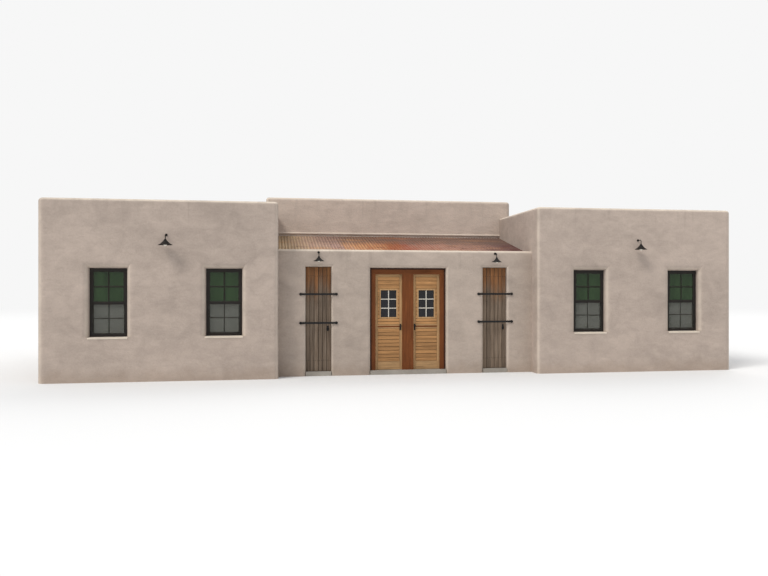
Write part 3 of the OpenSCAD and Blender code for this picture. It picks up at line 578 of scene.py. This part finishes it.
def glass(name, colour, alpha, blind=None):
    """Dark glass, faintly streaked with dust. A blind, if any, shows under the meeting rail."""
    g = Graph(name, 0.04, specular=0.3)
    streak = g.noise(1.0, 4, 0.6, vector=g.scaled(9, 9, 1.2))
    base = g.ramp(streak, (0.35, colour), (0.75, tint(colour, 1.7)))
    if blind:
        # Painted shade and light in bands across the blind's slats
        blind_with_slat_shade = g.shaded(blind, g.zigzag(g.z, 0.014), 0.82, 1.1)
        base = g.mix(base, blind_with_slat_shade, g.math("LESS_THAN", g.z, MEETING_Z))
    g.feed(g.shader, {"Alpha": alpha})
    return g.finish(base, g.bump(g.noise(1.3, 2), 0.004, 0.25), g.rise(streak, 0.3, 0.8, 0.03, 0.10))


def insect_screen():
    g = Graph("insect_screen", 0.8)
    sag = g.noise(3.0, 3, 0.5)
    weave = g.noise(900, 1, 0.5)
    base = g.ramp(sag, (0.3, (0.120, 0.122, 0.104)), (0.7, (0.185, 0.188, 0.160)))
    base = g.shaded(base, weave, 0.9, 1.1)
    g.feed(g.shader, {"Alpha": 0.10})
    return g.finish(base, g.bump(weave, 0.0003, 0.3))


def frosted_bulb():
    g = Graph("frosted_bulb", 0.35)
    base = g.ramp(g.noise(40, 2), (0.3, (0.74, 0.70, 0.60)), (0.7, (0.88, 0.85, 0.76)))
    return g.finish(base)


WING_STUCCO = stucco("wing_stucco", STUCCO, WING_H)
HALL_STUCCO = stucco("hall_stucco", STUCCO, HALL_H)
# The hall's front wall wears the paler stucco as painted light
HALL_FRONT_LIT = stucco("hall_front_lit_stucco", HALL_FRONT_LIT_STUCCO, HALL_H)
FRONT_STUCCO = stucco("entry_stucco", ENTRY_STUCCO, ENTRY_H)
CONCRETE = concrete()
SILL_HIGHLIGHT = sill_plaster()
FELTS = {name: roof_felt(name, rolls) for name, rolls in FELT_ROLLS.items()}
FLASHING = membrane("roof_flashing", (0.43, 0.39, 0.34))
RAFTER_WOOD = wood("rafter_wood", (0.30, 0.175, 0.090), 1)
PURLIN_WOOD = wood("purlin_wood", (0.32, 0.190, 0.100), 0)
RUSTED = rusted_sheet()
BRONZE_FRAME = painted_metal("bronze_frame", BRONZE, 0.5, dusty=0.12)
RED_UPRIGHT = wood("red_wood_upright", RED_WOOD, 2)
RED_LEVEL = wood("red_wood_level", RED_WOOD, 0)
CASING_SHADE_TRIM = wood("casing_shade_trim", CASING_SHADE_RED, 2)
TAN_STILE = wood("tan_wood_stile", PALE_TAN_WOOD, 2)
TAN_RAIL = wood("tan_wood_rail", tint(PALE_TAN_WOOD, 0.92), 0)
TAN_BOARD = wood("tan_wood_board", TAN_WOOD, 0, uneven=0.16)
# Near-black board edges: painted shade in the seams between the door boards
BOARD_EDGE_SHADE = wood("tan_wood_edge_shade", tint(TAN_WOOD, 0.32), 0)
PLANKS = weathered_planks()
PLANK_BACK = wood("plank_back", GREY_WOOD, 2, weather=0.5, roughness=0.8)
# Near-black plank edges: painted shade in the open seams between the planks
PLANK_EDGE_SHADE = wood("plank_edge_shade", tint(GREY_WOOD, 0.3), 2, roughness=0.8)
WROUGHT_IRON = painted_metal("wrought_iron", IRON, 0.65, grain=90, dusty=0.12)
LAMP_IRON = painted_metal("lamp_iron", tint(IRON, 0.7), 0.65, dusty=0.05, specular=0.15)
GALVANIZED = galvanized()
RUSTED_SCREW = painted_metal("rusted_screw", (0.170, 0.085, 0.055), 0.7)
PANE = glass("window_pane", PANE_TINT_AND_REFLECTION, 0.86, BLIND_GREY)
DOOR_PANE = glass("door_pane", (0.010, 0.010, 0.012), 0.90)
SCREEN = insect_screen()
BULB = frosted_bulb()
MUNTIN_WHITE = brushed_paint("muntin_paint", (0.66, 0.62, 0.54))

# The CAD nodes' materials, each by the first of these words that the node's name holds
NODE_MATERIALS = {
    "floor_slab": CONCRETE,
    "left_wing_roof": FELTS["left_wing"],
    "right_wing_roof": FELTS["right_wing"],
    "hall_roof": FELTS["hall"],
    "hall_front_wall": HALL_FRONT_LIT,
    "hall": HALL_STUCCO,
    "wing": WING_STUCCO,
    "entry_wall": FRONT_STUCCO,
    "entry_rafters": RAFTER_WOOD,
    "entry_purlins": PURLIN_WOOD,
    "entry_roof_sheet": RUSTED,
    "window_frames": BRONZE_FRAME,
    "window_glass": PANE,
    "window_sills": SILL_HIGHLIGHT,
    "door_jambs": RED_UPRIGHT,
    "door_frame_head": RED_LEVEL,
    "door_mullion": RED_UPRIGHT,
    "hinge_leaves": WROUGHT_IRON,
    "door_leaf": TAN_STILE,
    "door_glass": DOOR_PANE,
    "door_fittings": WROUGHT_IRON,
    "plank_door_bars": WROUGHT_IRON,
    "plank_door": PLANK_BACK,
    "wall_lamps": LAMP_IRON,
    "lamp_bulbs": BULB,
    "roof_drains": GALVANIZED,
}


def dress_nodes():
    """Gives every CAD node its material."""
    for name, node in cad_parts.items():
        node.data.materials.clear()
        node.data.materials.append(next(look for word, look in NODE_MATERIALS.items() if word in name))


# Windows

SASH_Y = WIN_RECESS + FRAME_D - 0.004  # inner face of the lower sash


def pane_bars(bars, place):
    """Upright and level bars on both sides of the panes of both sashes."""
    bar_w, bar_t, off_pane, pane_in, edge = 0.026, 0.010, 0.003, 0.020, 0.004
    half_w = WIN_W / 2 - FRAME_W - SASH_W
    upper = (MEETING_Z + SASH_W / 2, SILL_Z + WIN_H - FRAME_W - SASH_W, WIN_RECESS + pane_in)
    lower = (SILL_Z + FRAME_W + SASH_W, MEETING_Z - SASH_W / 2, WIN_RECESS + FRAME_D - pane_in)
    for low_z, high_z, pane_y in (upper, lower):
        mid_z = (low_z + high_z) / 2
        for way in (-1, 1):
            depth = layer(pane_y, way, off_pane, bar_t)
            bars.block(around(0, bar_w), depth, (low_z, high_z), edge, place)
            for x in both_sides(bar_w / 2, half_w):
                bars.block(x, depth, around(mid_z, bar_w), edge, place)


def insect_net(frames, nets, place):
    """A framed net over the outside of the lower sash."""
    rail, deep, clear, net_in, net_t = 0.022, 0.010, 0.001, 0.0045, 0.001
    front = WIN_RECESS + 0.006
    half_w = WIN_W / 2 - FRAME_W - clear
    low_z = SILL_Z + FRAME_W + clear
    high_z = MEETING_Z - SASH_W / 2 - clear
    within, depth = (rail - half_w, half_w - rail), (front, front + deep)
    for x in both_sides(half_w - rail, half_w):
        frames.block(x, depth, (low_z, high_z), place=place)
    for z in (low_z, high_z - rail):
        frames.block(within, depth, (z, z + rail), place=place)
    depth = (front + net_in, front + net_in + net_t)
    nets.block(within, depth, (low_z + rail, high_z - rail), edge=0, place=place)


def sash_lock(fittings, place):
    """A base, a pivot and a lever, drawn round the pivot's foot."""
    base_w, base_d, base_t = 0.060, 0.022, 0.007
    lever_back, lever_l, lever_low, lever_high = 0.004, 0.034, 0.009, 0.016
    pivot = [(0, 0), (0.011, 0), (0.011, 0.007), (0.007, 0.011), (0, 0.012)]
    fittings.block(around(0, base_w), around(0, base_d), (0, base_t), place=place)
    fittings.lathe(pivot, 14, place @ Matrix.Translation((0, 0, 0.006)))
    fittings.block((-lever_back, lever_l), (-lever_back, lever_back), (lever_low, lever_high), place=place)


def finger_lift(fittings, place):
    """A plate with a lip to raise the lower sash by."""
    plate_w, plate_t, plate_h = 0.060, 0.003, 0.018
    lip_w, lip_out, lip_z, lip_t, sunk = 0.044, 0.018, 0.012, 0.005, 0.001
    fittings.block(around(0, plate_w), (0, plate_t), (0, plate_h), 0.001, place)
    fittings.block(around(0, lip_w), (plate_t - sunk, lip_out), (lip_z, lip_z + lip_t), 0.0015, place)


def window_details(name, places):
    """Bars, insect nets, sash locks and lifts of one side's windows."""
    bars, frames, nets, fittings = (Solids() for _ in range(4))
    lock = Matrix.Translation((0, SASH_Y - 0.015, MEETING_Z + SASH_W / 2))
    lifts = [Matrix.Translation((x, SASH_Y, SILL_Z + FRAME_W + 0.014)) for x in (-0.17, 0.17)]
    for x, y, turn in places:
        place = on_wall(x, y, turn)
        pane_bars(bars, place)
        insect_net(frames, nets, place)
        sash_lock(fittings, place @ lock)
        for lift in lifts:
            finger_lift(fittings, place @ lift)
    bars.piece(name + "_window_bars", BRONZE_FRAME, "bronze_frame")
    fittings.piece(name + "_sash_locks", WROUGHT_IRON, "black_iron")
    frames.piece(name + "_screen_frames", BRONZE_FRAME, "bronze_frame")
    nets.piece(name + "_insect_screens", SCREEN, "bronze_frame")


# Entry doors

def rows(low, high, pitch):
    """Splits a height into equal boards of about the given pitch."""
    count = max(1, round((high - low) / pitch))
    step = (high - low) / count
    return [(low + i * step, low + (i + 1) * step) for i in range(count)]


def door_faces(door):
    """The two faces of a door leaf, each as its y and its outward way."""
    low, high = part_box(door + "_leaf")
    return (low.y, -1), (high.y, 1)


def door_boards(door):
    """Level boards between the rails and beside the light, on both faces of a door."""
    low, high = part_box(door + "_leaf")
    glass_low, glass_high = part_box(door + "_glass")
    left, right = low.x + DOOR_STILE, high.x - DOOR_STILE
    bead_low, bead_high = glass_low.z - BEAD_W, glass_high.z + BEAD_W
    pitch, seam, thick, edge = 0.082, 0.004, 0.0075, 0.005
    whole = rows(low.z + DOOR_BOTTOM_RAIL, LOCK_RAIL_Z - LOCK_RAIL_W / 2, pitch)
    whole += rows(LOCK_RAIL_Z + LOCK_RAIL_W / 2, bead_low, pitch)
    whole += rows(bead_high, high.z - DOOR_TOP_RAIL, pitch)
    stretches = [(left, right, row) for row in whole]
    for row in rows(bead_low, bead_high, pitch):
        stretches += [(left, glass_low.x - BEAD_W, row), (glass_high.x + BEAD_W, right, row)]
    boards = Solids()
    for face, way in door_faces(door):
        depth = layer(face, way, -PANEL_RECESS, thick)
        for x0, x1, (z0, z1) in stretches:
            # The eased edges take the second material, painted shade in the seams
            boards.block((x0, x1), depth, (z0 + seam / 2, z1 - seam / 2), edge, edge_material=1)
    boards.piece(door + "_boards", (TAN_BOARD, BOARD_EDGE_SHADE), "tan_wood", door)


def door_rails(door):
    """Facings on the rails, and a red strip across the lock rail, on both faces of a door."""
    low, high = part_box(door + "_leaf")
    left, right = low.x + DOOR_STILE, high.x - DOOR_STILE
    facing_t, inset, strip_t, strip_w = 0.003, 0.001, 0.003, 0.036
    bottom = (low.z, low.z + DOOR_BOTTOM_RAIL)
    lock = around(LOCK_RAIL_Z, LOCK_RAIL_W)
    top = (high.z - DOOR_TOP_RAIL, high.z)
    rails, strips = Solids(), Solids()
    for face, way in door_faces(door):
        depth = layer(face, way, 0, facing_t)
        for z0, z1 in (bottom, lock, top):
            rails.block((left + inset, right - inset), depth, (z0 + inset, z1 - inset))
        depth = layer(face, way, facing_t, strip_t)
        strips.block((left, right), depth, around(LOCK_RAIL_Z, strip_w))
    rails.piece(door + "_rails", TAN_RAIL, "tan_wood", door)
    strips.piece(door + "_red_strip", RED_LEVEL, "red_wood", door)


def lock_plates(door):
    """A plate with a key cylinder behind the knob, on both faces of a door."""
    x = -KNOB_X if door == "left_door" else KNOB_X
    plate_w, thick, edge = 0.036, 0.002, 0.0012
    low_z, high_z, cylinder_z = KNOB_Z - 0.105, KNOB_Z + 0.045, KNOB_Z - 0.075
    cylinder = [(0, -0.001), (0.011, -0.001), (0.011, 0.0025), (0.008, 0.004), (0, 0.004)]
    plates = Solids()
    for face, way in door_faces(door):
        plates.block(around(x, plate_w), layer(face, way, 0, thick), (low_z, high_z), edge)
        outward = Matrix.Rotation(math.radians(-90 * way), 4, "X")
        plates.lathe(cylinder, 16, Matrix.Translation((x, face + way * thick, cylinder_z)) @ outward)
    plates.piece(door + "_lock_plates", WROUGHT_IRON, "black_iron", door)


def light_bars(door):
    """One upright and two level bars on both sides of a door's glass, which make six panes of it."""
    low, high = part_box(door + "_glass")
    mid_x, mid_y = (low.x + high.x) / 2, (low.y + high.y) / 2
    bar_w, bar_t, off_pane, edge = 0.020, 0.013, 0.003, 0.004
    bars = Solids()
    for way in (-1, 1):
        depth = layer(mid_y, way, off_pane, bar_t)
        bars.block(around(mid_x, bar_w), depth, (low.z, high.z), edge)
        for row in (1, 2):
            z = low.z + (high.z - low.z) * row / 3
            for x in ((low.x, mid_x - bar_w / 2), (mid_x + bar_w / 2, high.x)):
                bars.block(x, depth, around(z, bar_w), edge)
    bars.piece(door + "_light_bars", MUNTIN_WHITE, "tan_wood", door)


def door_casing():
    """Cover strips between the door frame and the plaster, near black as painted shade round the frame."""
    head_low, head_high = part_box("door_frame_head")
    floor_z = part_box("door_jambs")[0].z
    width, proud, edge = 0.036, 0.016, 0.005
    depth = (head_low.y - proud, head_low.y)
    half_w, top = head_high.x, head_high.z
    strips = Solids()
    for x in both_sides(half_w - width, half_w):
        strips.block(x, depth, (floor_z, top), edge)
    strips.block((width - half_w, half_w - width), depth, (top - width, top), edge)
    strips.piece("door_cover_strips", CASING_SHADE_TRIM, "red_wood")


# Narrow plank doors

def front_planks(planks, nails, rng, low, high):
    """Uneven planks with open seams, and nail heads through the ledges, on the front of one narrow door."""
    count, seam, proud, uneven, edge = 6, 0.0044, 0.010, 0.0015, 0.005
    foot_gap, head_gap = 0.004, 0.003
    nail_heights, nail_x, nail_shift = (0.35, 1.22, 1.88, 2.30), 0.024, 0.008
    nail = [(0, -0.002), (0.0075, -0.002), (0.0075, 0.0015), (0.004, 0.004), (0, 0.0045)]
    width = (high.x - low.x) / count
    for i in range(count):
        middle = low.x + (i + 0.5) * width
        face = low.y - proud - rng.uniform(-uneven, uneven)
        height = (low.z + foot_gap, high.z - head_gap)
        # The eased edges take the second material, painted shade in the seams
        planks.block(around(middle, width - seam), (face, low.y), height, edge, edge_material=1)
        for z in nail_heights:
            for x in (middle - nail_x, middle + nail_x):
                nails.lathe(nail, 10, facing_front(x, face, z + rng.uniform(-nail_shift, nail_shift)))


def ring_latch(latches, x, front):
    """A plate, a boss and a ring that hangs from it."""
    plate_w, plate_front, plate_back, plate_low, plate_high = 0.045, 0.017, 0.0105, 1.03, 1.15
    ring_r, wire, ring_out, ring_z, boss_z = 0.026, 0.0045, 0.024, 1.075, 1.103
    boss = [(0, -0.001), (0.010, -0.001), (0.010, 0.006), (0.006, 0.012), (0, 0.013)]
    latches.block(around(x, plate_w), (front - plate_front, front - plate_back), (plate_low, plate_high))
    latches.ring(ring_r, wire, facing_front(x, front - ring_out, ring_z))
    latches.lathe(boss, 14, facing_front(x, front - plate_front, boss_z))


def plank_details():
    """Planks, nails and ring latches of both narrow doors."""
    planks, nails, latches = Solids(), Solids(), Solids()
    latch_x = 0.2125
    rng = random.Random(11)
    for name in ("left_plank_door", "right_plank_door"):
        low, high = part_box(name)
        front_planks(planks, nails, rng, low, high)
        ring_latch(latches, (low.x + high.x) / 2 + latch_x, low.y)
    planks.piece("narrow_door_planks", (PLANKS, PLANK_EDGE_SHADE), "weathered_wood")
    nails.piece("narrow_door_nails", WROUGHT_IRON, "black_iron")
    latches.piece("narrow_door_latches", WROUGHT_IRON, "black_iron")


# Entry roof

SHEET_STEPS = 22  # rows of faces up the slope
WAVE_STEPS = 10  # faces across a wave
EAVE_BACK, SEAT_UP = 0.004, 0.001  # from the lowest corner of the CAD sheet
SHEET_CLEAR = 0.0030  # between the purlins and the waves
LAP_LIFT = 0.0032  # of every second sheet, which lies over its neighbours
DENT, DENT_SCALE = 0.0025, 1.7
PURLIN_SHARES = (0.026, 0.264, 0.501, 0.738, 0.975)  # places of the purlins up the slope
sheet_rng = random.Random(4)
SKEWS = [sheet_rng.uniform(-0.0012, 0.0012) for _ in range(SHEET_COUNT)]


def sheet_foot(i, x, along):
    """Height of a sheet over the purlins at the foot of its waves, some way along the slope."""
    dent = DENT * noise.noise(Vector((x * DENT_SCALE, along * DENT_SCALE, 0)))
    return SHEET_CLEAR + LAP_LIFT * (i % 2) + SKEWS[i] * along / SLOPE_L + dent


def on_slope(x, along, height):
    """A point so far up the slope, and so high over the purlins."""
    y = SHEET_LOW.y + EAVE_BACK + along * math.cos(SLOPE) - height * math.sin(SLOPE)
    return Vector((x, y, SHEET_LOW.z + SEAT_UP + along * math.sin(SLOPE) + height * math.cos(SLOPE)))


def sheet_side(mesh, i, drop):
    """Rows of corners on a sheet, at a drop under its top. All but the last lap the next by a wave."""
    waves = SHEET_WAVES + (1 if i < SHEET_COUNT - 1 else 0)
    grid = []
    for s in range(SHEET_STEPS + 1):
        along = s / SHEET_STEPS * SLOPE_L
        line = []
        for p in range(waves * WAVE_STEPS + 1):
            x = min(SHEET_LOW.x + i * SHEET_W + p * WAVE_PITCH / WAVE_STEPS, SHEET_HIGH.x)
            wave = WAVE_RISE * (1 - math.cos(2 * math.pi * p / WAVE_STEPS))
            line.append(mesh.verts.new(on_slope(x, along, wave + sheet_foot(i, x, along) - drop)))
        grid.append(line)
    return grid


def roof_sheets():
    """Lapped corrugated sheets on the purlins, each a little out of line and slightly dented."""
    sheets = Solids()
    new_face = sheets.mesh.faces.new
    for i in range(SHEET_COUNT):
        top, under = (sheet_side(sheets.mesh, i, drop) for drop in (0, SHEET_T))
        last = len(top[0]) - 1
        for s in range(SHEET_STEPS):
            for p in range(last):
                new_face((top[s][p], top[s][p + 1], top[s + 1][p + 1], top[s + 1][p]))
                new_face((under[s][p], under[s + 1][p], under[s + 1][p + 1], under[s][p + 1]))
            for p in (0, last):
                new_face((top[s][p], top[s + 1][p], under[s + 1][p], under[s][p]))
        for s in (0, SHEET_STEPS):
            for p in range(last):
                new_face((top[s][p], under[s][p], under[s][p + 1], top[s][p + 1]))
    piece = sheets.piece("corrugated_sheets", RUSTED, "rusted_sheet", smooth=0.9)
    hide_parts("entry_roof_sheet")


def roof_screws():
    """Screws with washers on every third wave, at each purlin."""
    screw = [(0, -0.004), (0.010, -0.004), (0.010, 0.001), (0.005, 0.002), (0.005, 0.006), (0, 0.0065)]
    tilt = Matrix.Rotation(SLOPE, 4, "X")
    screws = Solids()
    for share in PURLIN_SHARES:
        along = share * SLOPE_L
        for k in range(1, SHEET_COUNT * SHEET_WAVES, 3):
            x = SHEET_LOW.x + (k + 0.5) * WAVE_PITCH
            sheet = k // SHEET_WAVES
            lapped = [sheet, sheet - 1] if sheet and k % SHEET_WAVES == 0 else [sheet]
            crest = 2 * WAVE_RISE + max(sheet_foot(i, x, along) for i in lapped)
            screws.lathe(screw, 8, Matrix.Translation(on_slope(x, along, crest)) @ tilt)
    screws.piece("roof_screws", RUSTED_SCREW, "drain_metal")


# Flat roofs

# The felt turned up at a parapet, as distance from the parapet and height over the deck
UPSTAND = [(0, 0), (0.10, 0), (0.10, 0.004), (0.085, 0.006), (0.006, 0.085), (0.006, 0.19), (0, 0.195)]


def flat_roof(name, rolls, drain_x):
    """Laps of the felt rolls, and the felt turned up at the parapets, left open at the drain."""
    low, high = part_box(name + "_roof")
    drain_gap = 0.12
    lap_w, lap_t, lap_edge, front_gap, back_gap = 0.10, 0.004, 0.0015, 0.09, 0.16
    corners = [(low.x, high.y), (low.x, low.y), (high.x, low.y), (high.x, high.y)]
    path = [(drain_x - drain_gap, high.y)] + corners + [(drain_x + drain_gap, high.y)]
    felt, laps = Solids(), Solids()
    felt.sweep([(x, y, high.z) for x, y in path], UPSTAND)
    for i in range(1, rolls):
        x = low.x + i * (high.x - low.x) / rolls
        depth = (low.y + front_gap, high.y - back_gap)
        laps.block(around(x, lap_w), depth, (high.z, high.z + lap_t), lap_edge)
    felt.piece(name + "_felt_upstand", FLASHING, "roof_membrane")
    laps.piece(name + "_felt_laps", FELTS[name], "roof_membrane")


def drain_trim(trim, place):
    """A collar at the wall's face, strainer bars at the mouth, rolled edges and an outer lip."""
    half_w = DRAIN_W / 2
    height = DRAINS_HIGH.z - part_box("hall_roof")[1].z
    out = DRAINS_HIGH.y - BACK_Y
    mouth_y = BACK_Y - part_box("hall_roof")[1].y
    reach, proud, collar_edge = 0.032, 0.004, 0.0015
    for x in both_sides(half_w, half_w + reach):
        trim.block(x, (-proud, 0), (-reach, height + reach), collar_edge, place)
    for z in ((-reach, 0), (height, height + reach)):
        trim.block((-half_w, half_w), (-proud, 0), z, collar_edge, place)

    bar_pitch, bar_r, bar_in, bar_h = 0.028, 0.003, 0.030, height - DRAIN_T
    for k in range(-2, 3):
        bar = place @ Matrix.Translation((k * bar_pitch, mouth_y + bar_in, DRAIN_T))
        trim.lathe([(0, 0), (bar_r, 0), (bar_r, bar_h - 0.004), (0, bar_h - 0.002)], 8, bar)

    inside, outside, under, over, edge = 0.009, 0.004, 0.002, 0.005, 0.002
    for x in both_sides(half_w - inside, half_w + outside):
        trim.block(x, (-out, 0), (height - under, height + over), edge, place)
    lip, lip_side = 0.004, 0.003
    trim.block(around(0, DRAIN_W + 2 * lip_side), (-out - lip, lip - out), (-lip, lip), edge, place)


def drain_details():
    """The trim of all drains, which run through the back parapets."""
    trim = Solids()
    for name, drain_x in DRAIN_X.items():
        deck_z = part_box(name + "_roof")[1].z
        drain_trim(trim, on_wall(drain_x, BACK_Y, 180) @ Matrix.Translation((0, 0, deck_z)))
    trim.piece("drain_trim", GALVANIZED, "drain_metal")


# Wall lamps

def lamp_trim(trim, x, wall_y, width, brim_z):
    """A rolled edge on the shade, a collar on the stem and three bolts in the rose of one lamp."""
    cap, wall_gap, rose_up, rose_t = width * 0.38, 0.045, 0.110, 0.012
    wire, wire_down, bolt_r, bolt_turn = 0.0042, 0.002, 0.020, 0.5
    collar = [(0, -0.004), (0.019, -0.004), (0.022, 0.006), (0.019, 0.016), (0.009, 0.020), (0, 0.020)]
    bolt = [(0, -0.002), (0.005, -0.002), (0.005, 0.003), (0, 0.004)]
    shade = Matrix.Translation((x, wall_y - width / 2 - wall_gap, brim_z))
    trim.ring(width / 2, wire, shade @ Matrix.Translation((0, 0, -wire_down)))
    trim.lathe(collar, 18, shade @ Matrix.Translation((0, 0, cap)))
    rose = facing_front(x, wall_y - rose_t, brim_z + cap + rose_up)
    for k in range(3):
        a = 2 * math.pi * k / 3 + bolt_turn
        trim.lathe(bolt, 6, rose @ Matrix.Translation((bolt_r * math.cos(a), bolt_r * math.sin(a), 0)))


def lamp_details():
    """The trim of the lamps between the wings' front windows and over the narrow doors."""
    trim = Solids()
    for near, far in (LEFT_WINDOWS[:2], RIGHT_WINDOWS[:2]):
        lamp_trim(trim, (near[0] + far[0]) / 2, FRONT_Y, *WING_LAMP)
    for name in ("left_plank_door", "right_plank_door"):
        low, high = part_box(name)
        lamp_trim(trim, (low.x + high.x) / 2, ENTRY_Y, *ENTRY_LAMP)
    trim.piece("lamp_trim", LAMP_IRON, "black_iron")


# Floor, light and camera

BACKGROUND = (0.93, 0.93, 0.93)
FLOOR_GREY = (0.80, 0.80, 0.80)
FLOOR_REACH = 400
FADE_START, FADE_END = 24, 75
SKY = (0.93, 0.96, 1.0)
SKY_STRENGTH = 0.72
SUNLIGHT = (1.0, 0.97, 0.92)
# Each sun's name, energy, and its spread, height and bearing in degrees
SUNS = (("key_sun", 1.80, 24, 50, -50), ("back_sun", 0.7, 40, 40, 160))

# The photographer's place and turn to the right, and the lens in pixels of the photo
EYE = Vector((-3.059, -25.912, 2.022))
YAW = math.radians(12)
IMAGE_W = 768
FOCAL_PX = 900
SHIFT_PX = -82.5
SENSOR_MM = 36


def studio_floor():
    """A pale floor that fades into the background."""
    g = Graph("studio_floor", 0.9)
    g.finish(FLOOR_GREY)
    distance = g.make("ShaderNodeVectorMath", {0: g.place}, operation="LENGTH").outputs["Value"]
    glow = g.make("ShaderNodeEmission", {"Color": BACKGROUND}).outputs[0]
    values = {0: g.rise(distance, FADE_START, FADE_END), 1: g.shader.outputs[0], 2: glow}
    g.feed(g.tree.nodes["Material Output"], {"Surface": g.make("ShaderNodeMixShader", values).outputs[0]})
    data = bpy.data.meshes.new("studio_floor")
    corners = [(x * FLOOR_REACH, y * FLOOR_REACH, 0) for x, y in ((-1, -1), (1, -1), (1, 1), (-1, 1))]
    data.from_pydata(corners, [], [(0, 1, 2, 3)])
    data.materials.append(g.material)
    floor = bpy.data.objects.new("studio_floor", data)
    bpy.context.scene.collection.objects.link(floor)


def studio_sky():
    """A plain sky that lights the house. The camera, glass and metal see the background in its place."""
    world = bpy.data.worlds.new("studio_sky")
    bpy.context.scene.world = world
    world.use_nodes = True
    world.node_tree.nodes.clear()
    g = Nodes(world.node_tree)
    path = g.make("ShaderNodeLightPath").outputs
    seen = path["Is Camera Ray"]
    for ray in ("Is Transmission Ray", "Is Glossy Ray"):
        seen = g.make("ShaderNodeMath", {0: seen, 1: path[ray]}, operation="MAXIMUM").outputs[0]
    sky = g.make("ShaderNodeBackground", {"Color": SKY, "Strength": SKY_STRENGTH}).outputs[0]
    backdrop = g.make("ShaderNodeBackground", {"Color": BACKGROUND}).outputs[0]
    choice = g.make("ShaderNodeMixShader", {0: seen, 1: sky, 2: backdrop}).outputs[0]
    g.make("ShaderNodeOutputWorld", {"Surface": choice})


def studio_suns():
    """Soft suns before and behind the house."""
    for name, energy, spread, height, bearing in SUNS:
        light = bpy.data.lights.new(name, "SUN")
        light.energy = energy
        light.angle = math.radians(spread)
        light.color = SUNLIGHT
        sun = bpy.data.objects.new(name, light)
        tilt = Matrix.Rotation(math.radians(90 - height), 4, "X")
        sun.matrix_world = Matrix.Rotation(math.radians(bearing), 4, "Z") @ tilt
        bpy.context.scene.collection.objects.link(sun)


def camera():
    """Stands where the photographer stood, turned towards the house."""
    data = bpy.data.cameras.new("camera")
    data.sensor_width = SENSOR_MM
    data.lens = SENSOR_MM * FOCAL_PX / IMAGE_W
    data.shift_x = SHIFT_PX / IMAGE_W
    data.clip_end = 1000
    obj = bpy.data.objects.new("camera", data)
    level = Matrix.Rotation(math.radians(90), 4, "X")
    obj.matrix_world = Matrix.Translation(EYE) @ Matrix.Rotation(-YAW, 4, "Z") @ level
    bpy.context.scene.collection.objects.link(obj)
    bpy.context.scene.camera = obj


dress_nodes()
window_details("left", LEFT_WINDOWS)
window_details("right", RIGHT_WINDOWS)
window_details("back", BACK_WINDOWS)
for leaf in ("left_door", "right_door"):
    door_boards(leaf)
    door_rails(leaf)
    lock_plates(leaf)
    light_bars(leaf)
door_casing()
plank_details()
roof_sheets()
roof_screws()
for roof, roll_count in FELT_ROLLS.items():
    flat_roof(roof, roll_count, DRAIN_X[roof])
drain_details()
lamp_details()
studio_floor()
studio_sky()
studio_suns()
camera()

bpy.context.scene.view_settings.view_transform = "Standard"
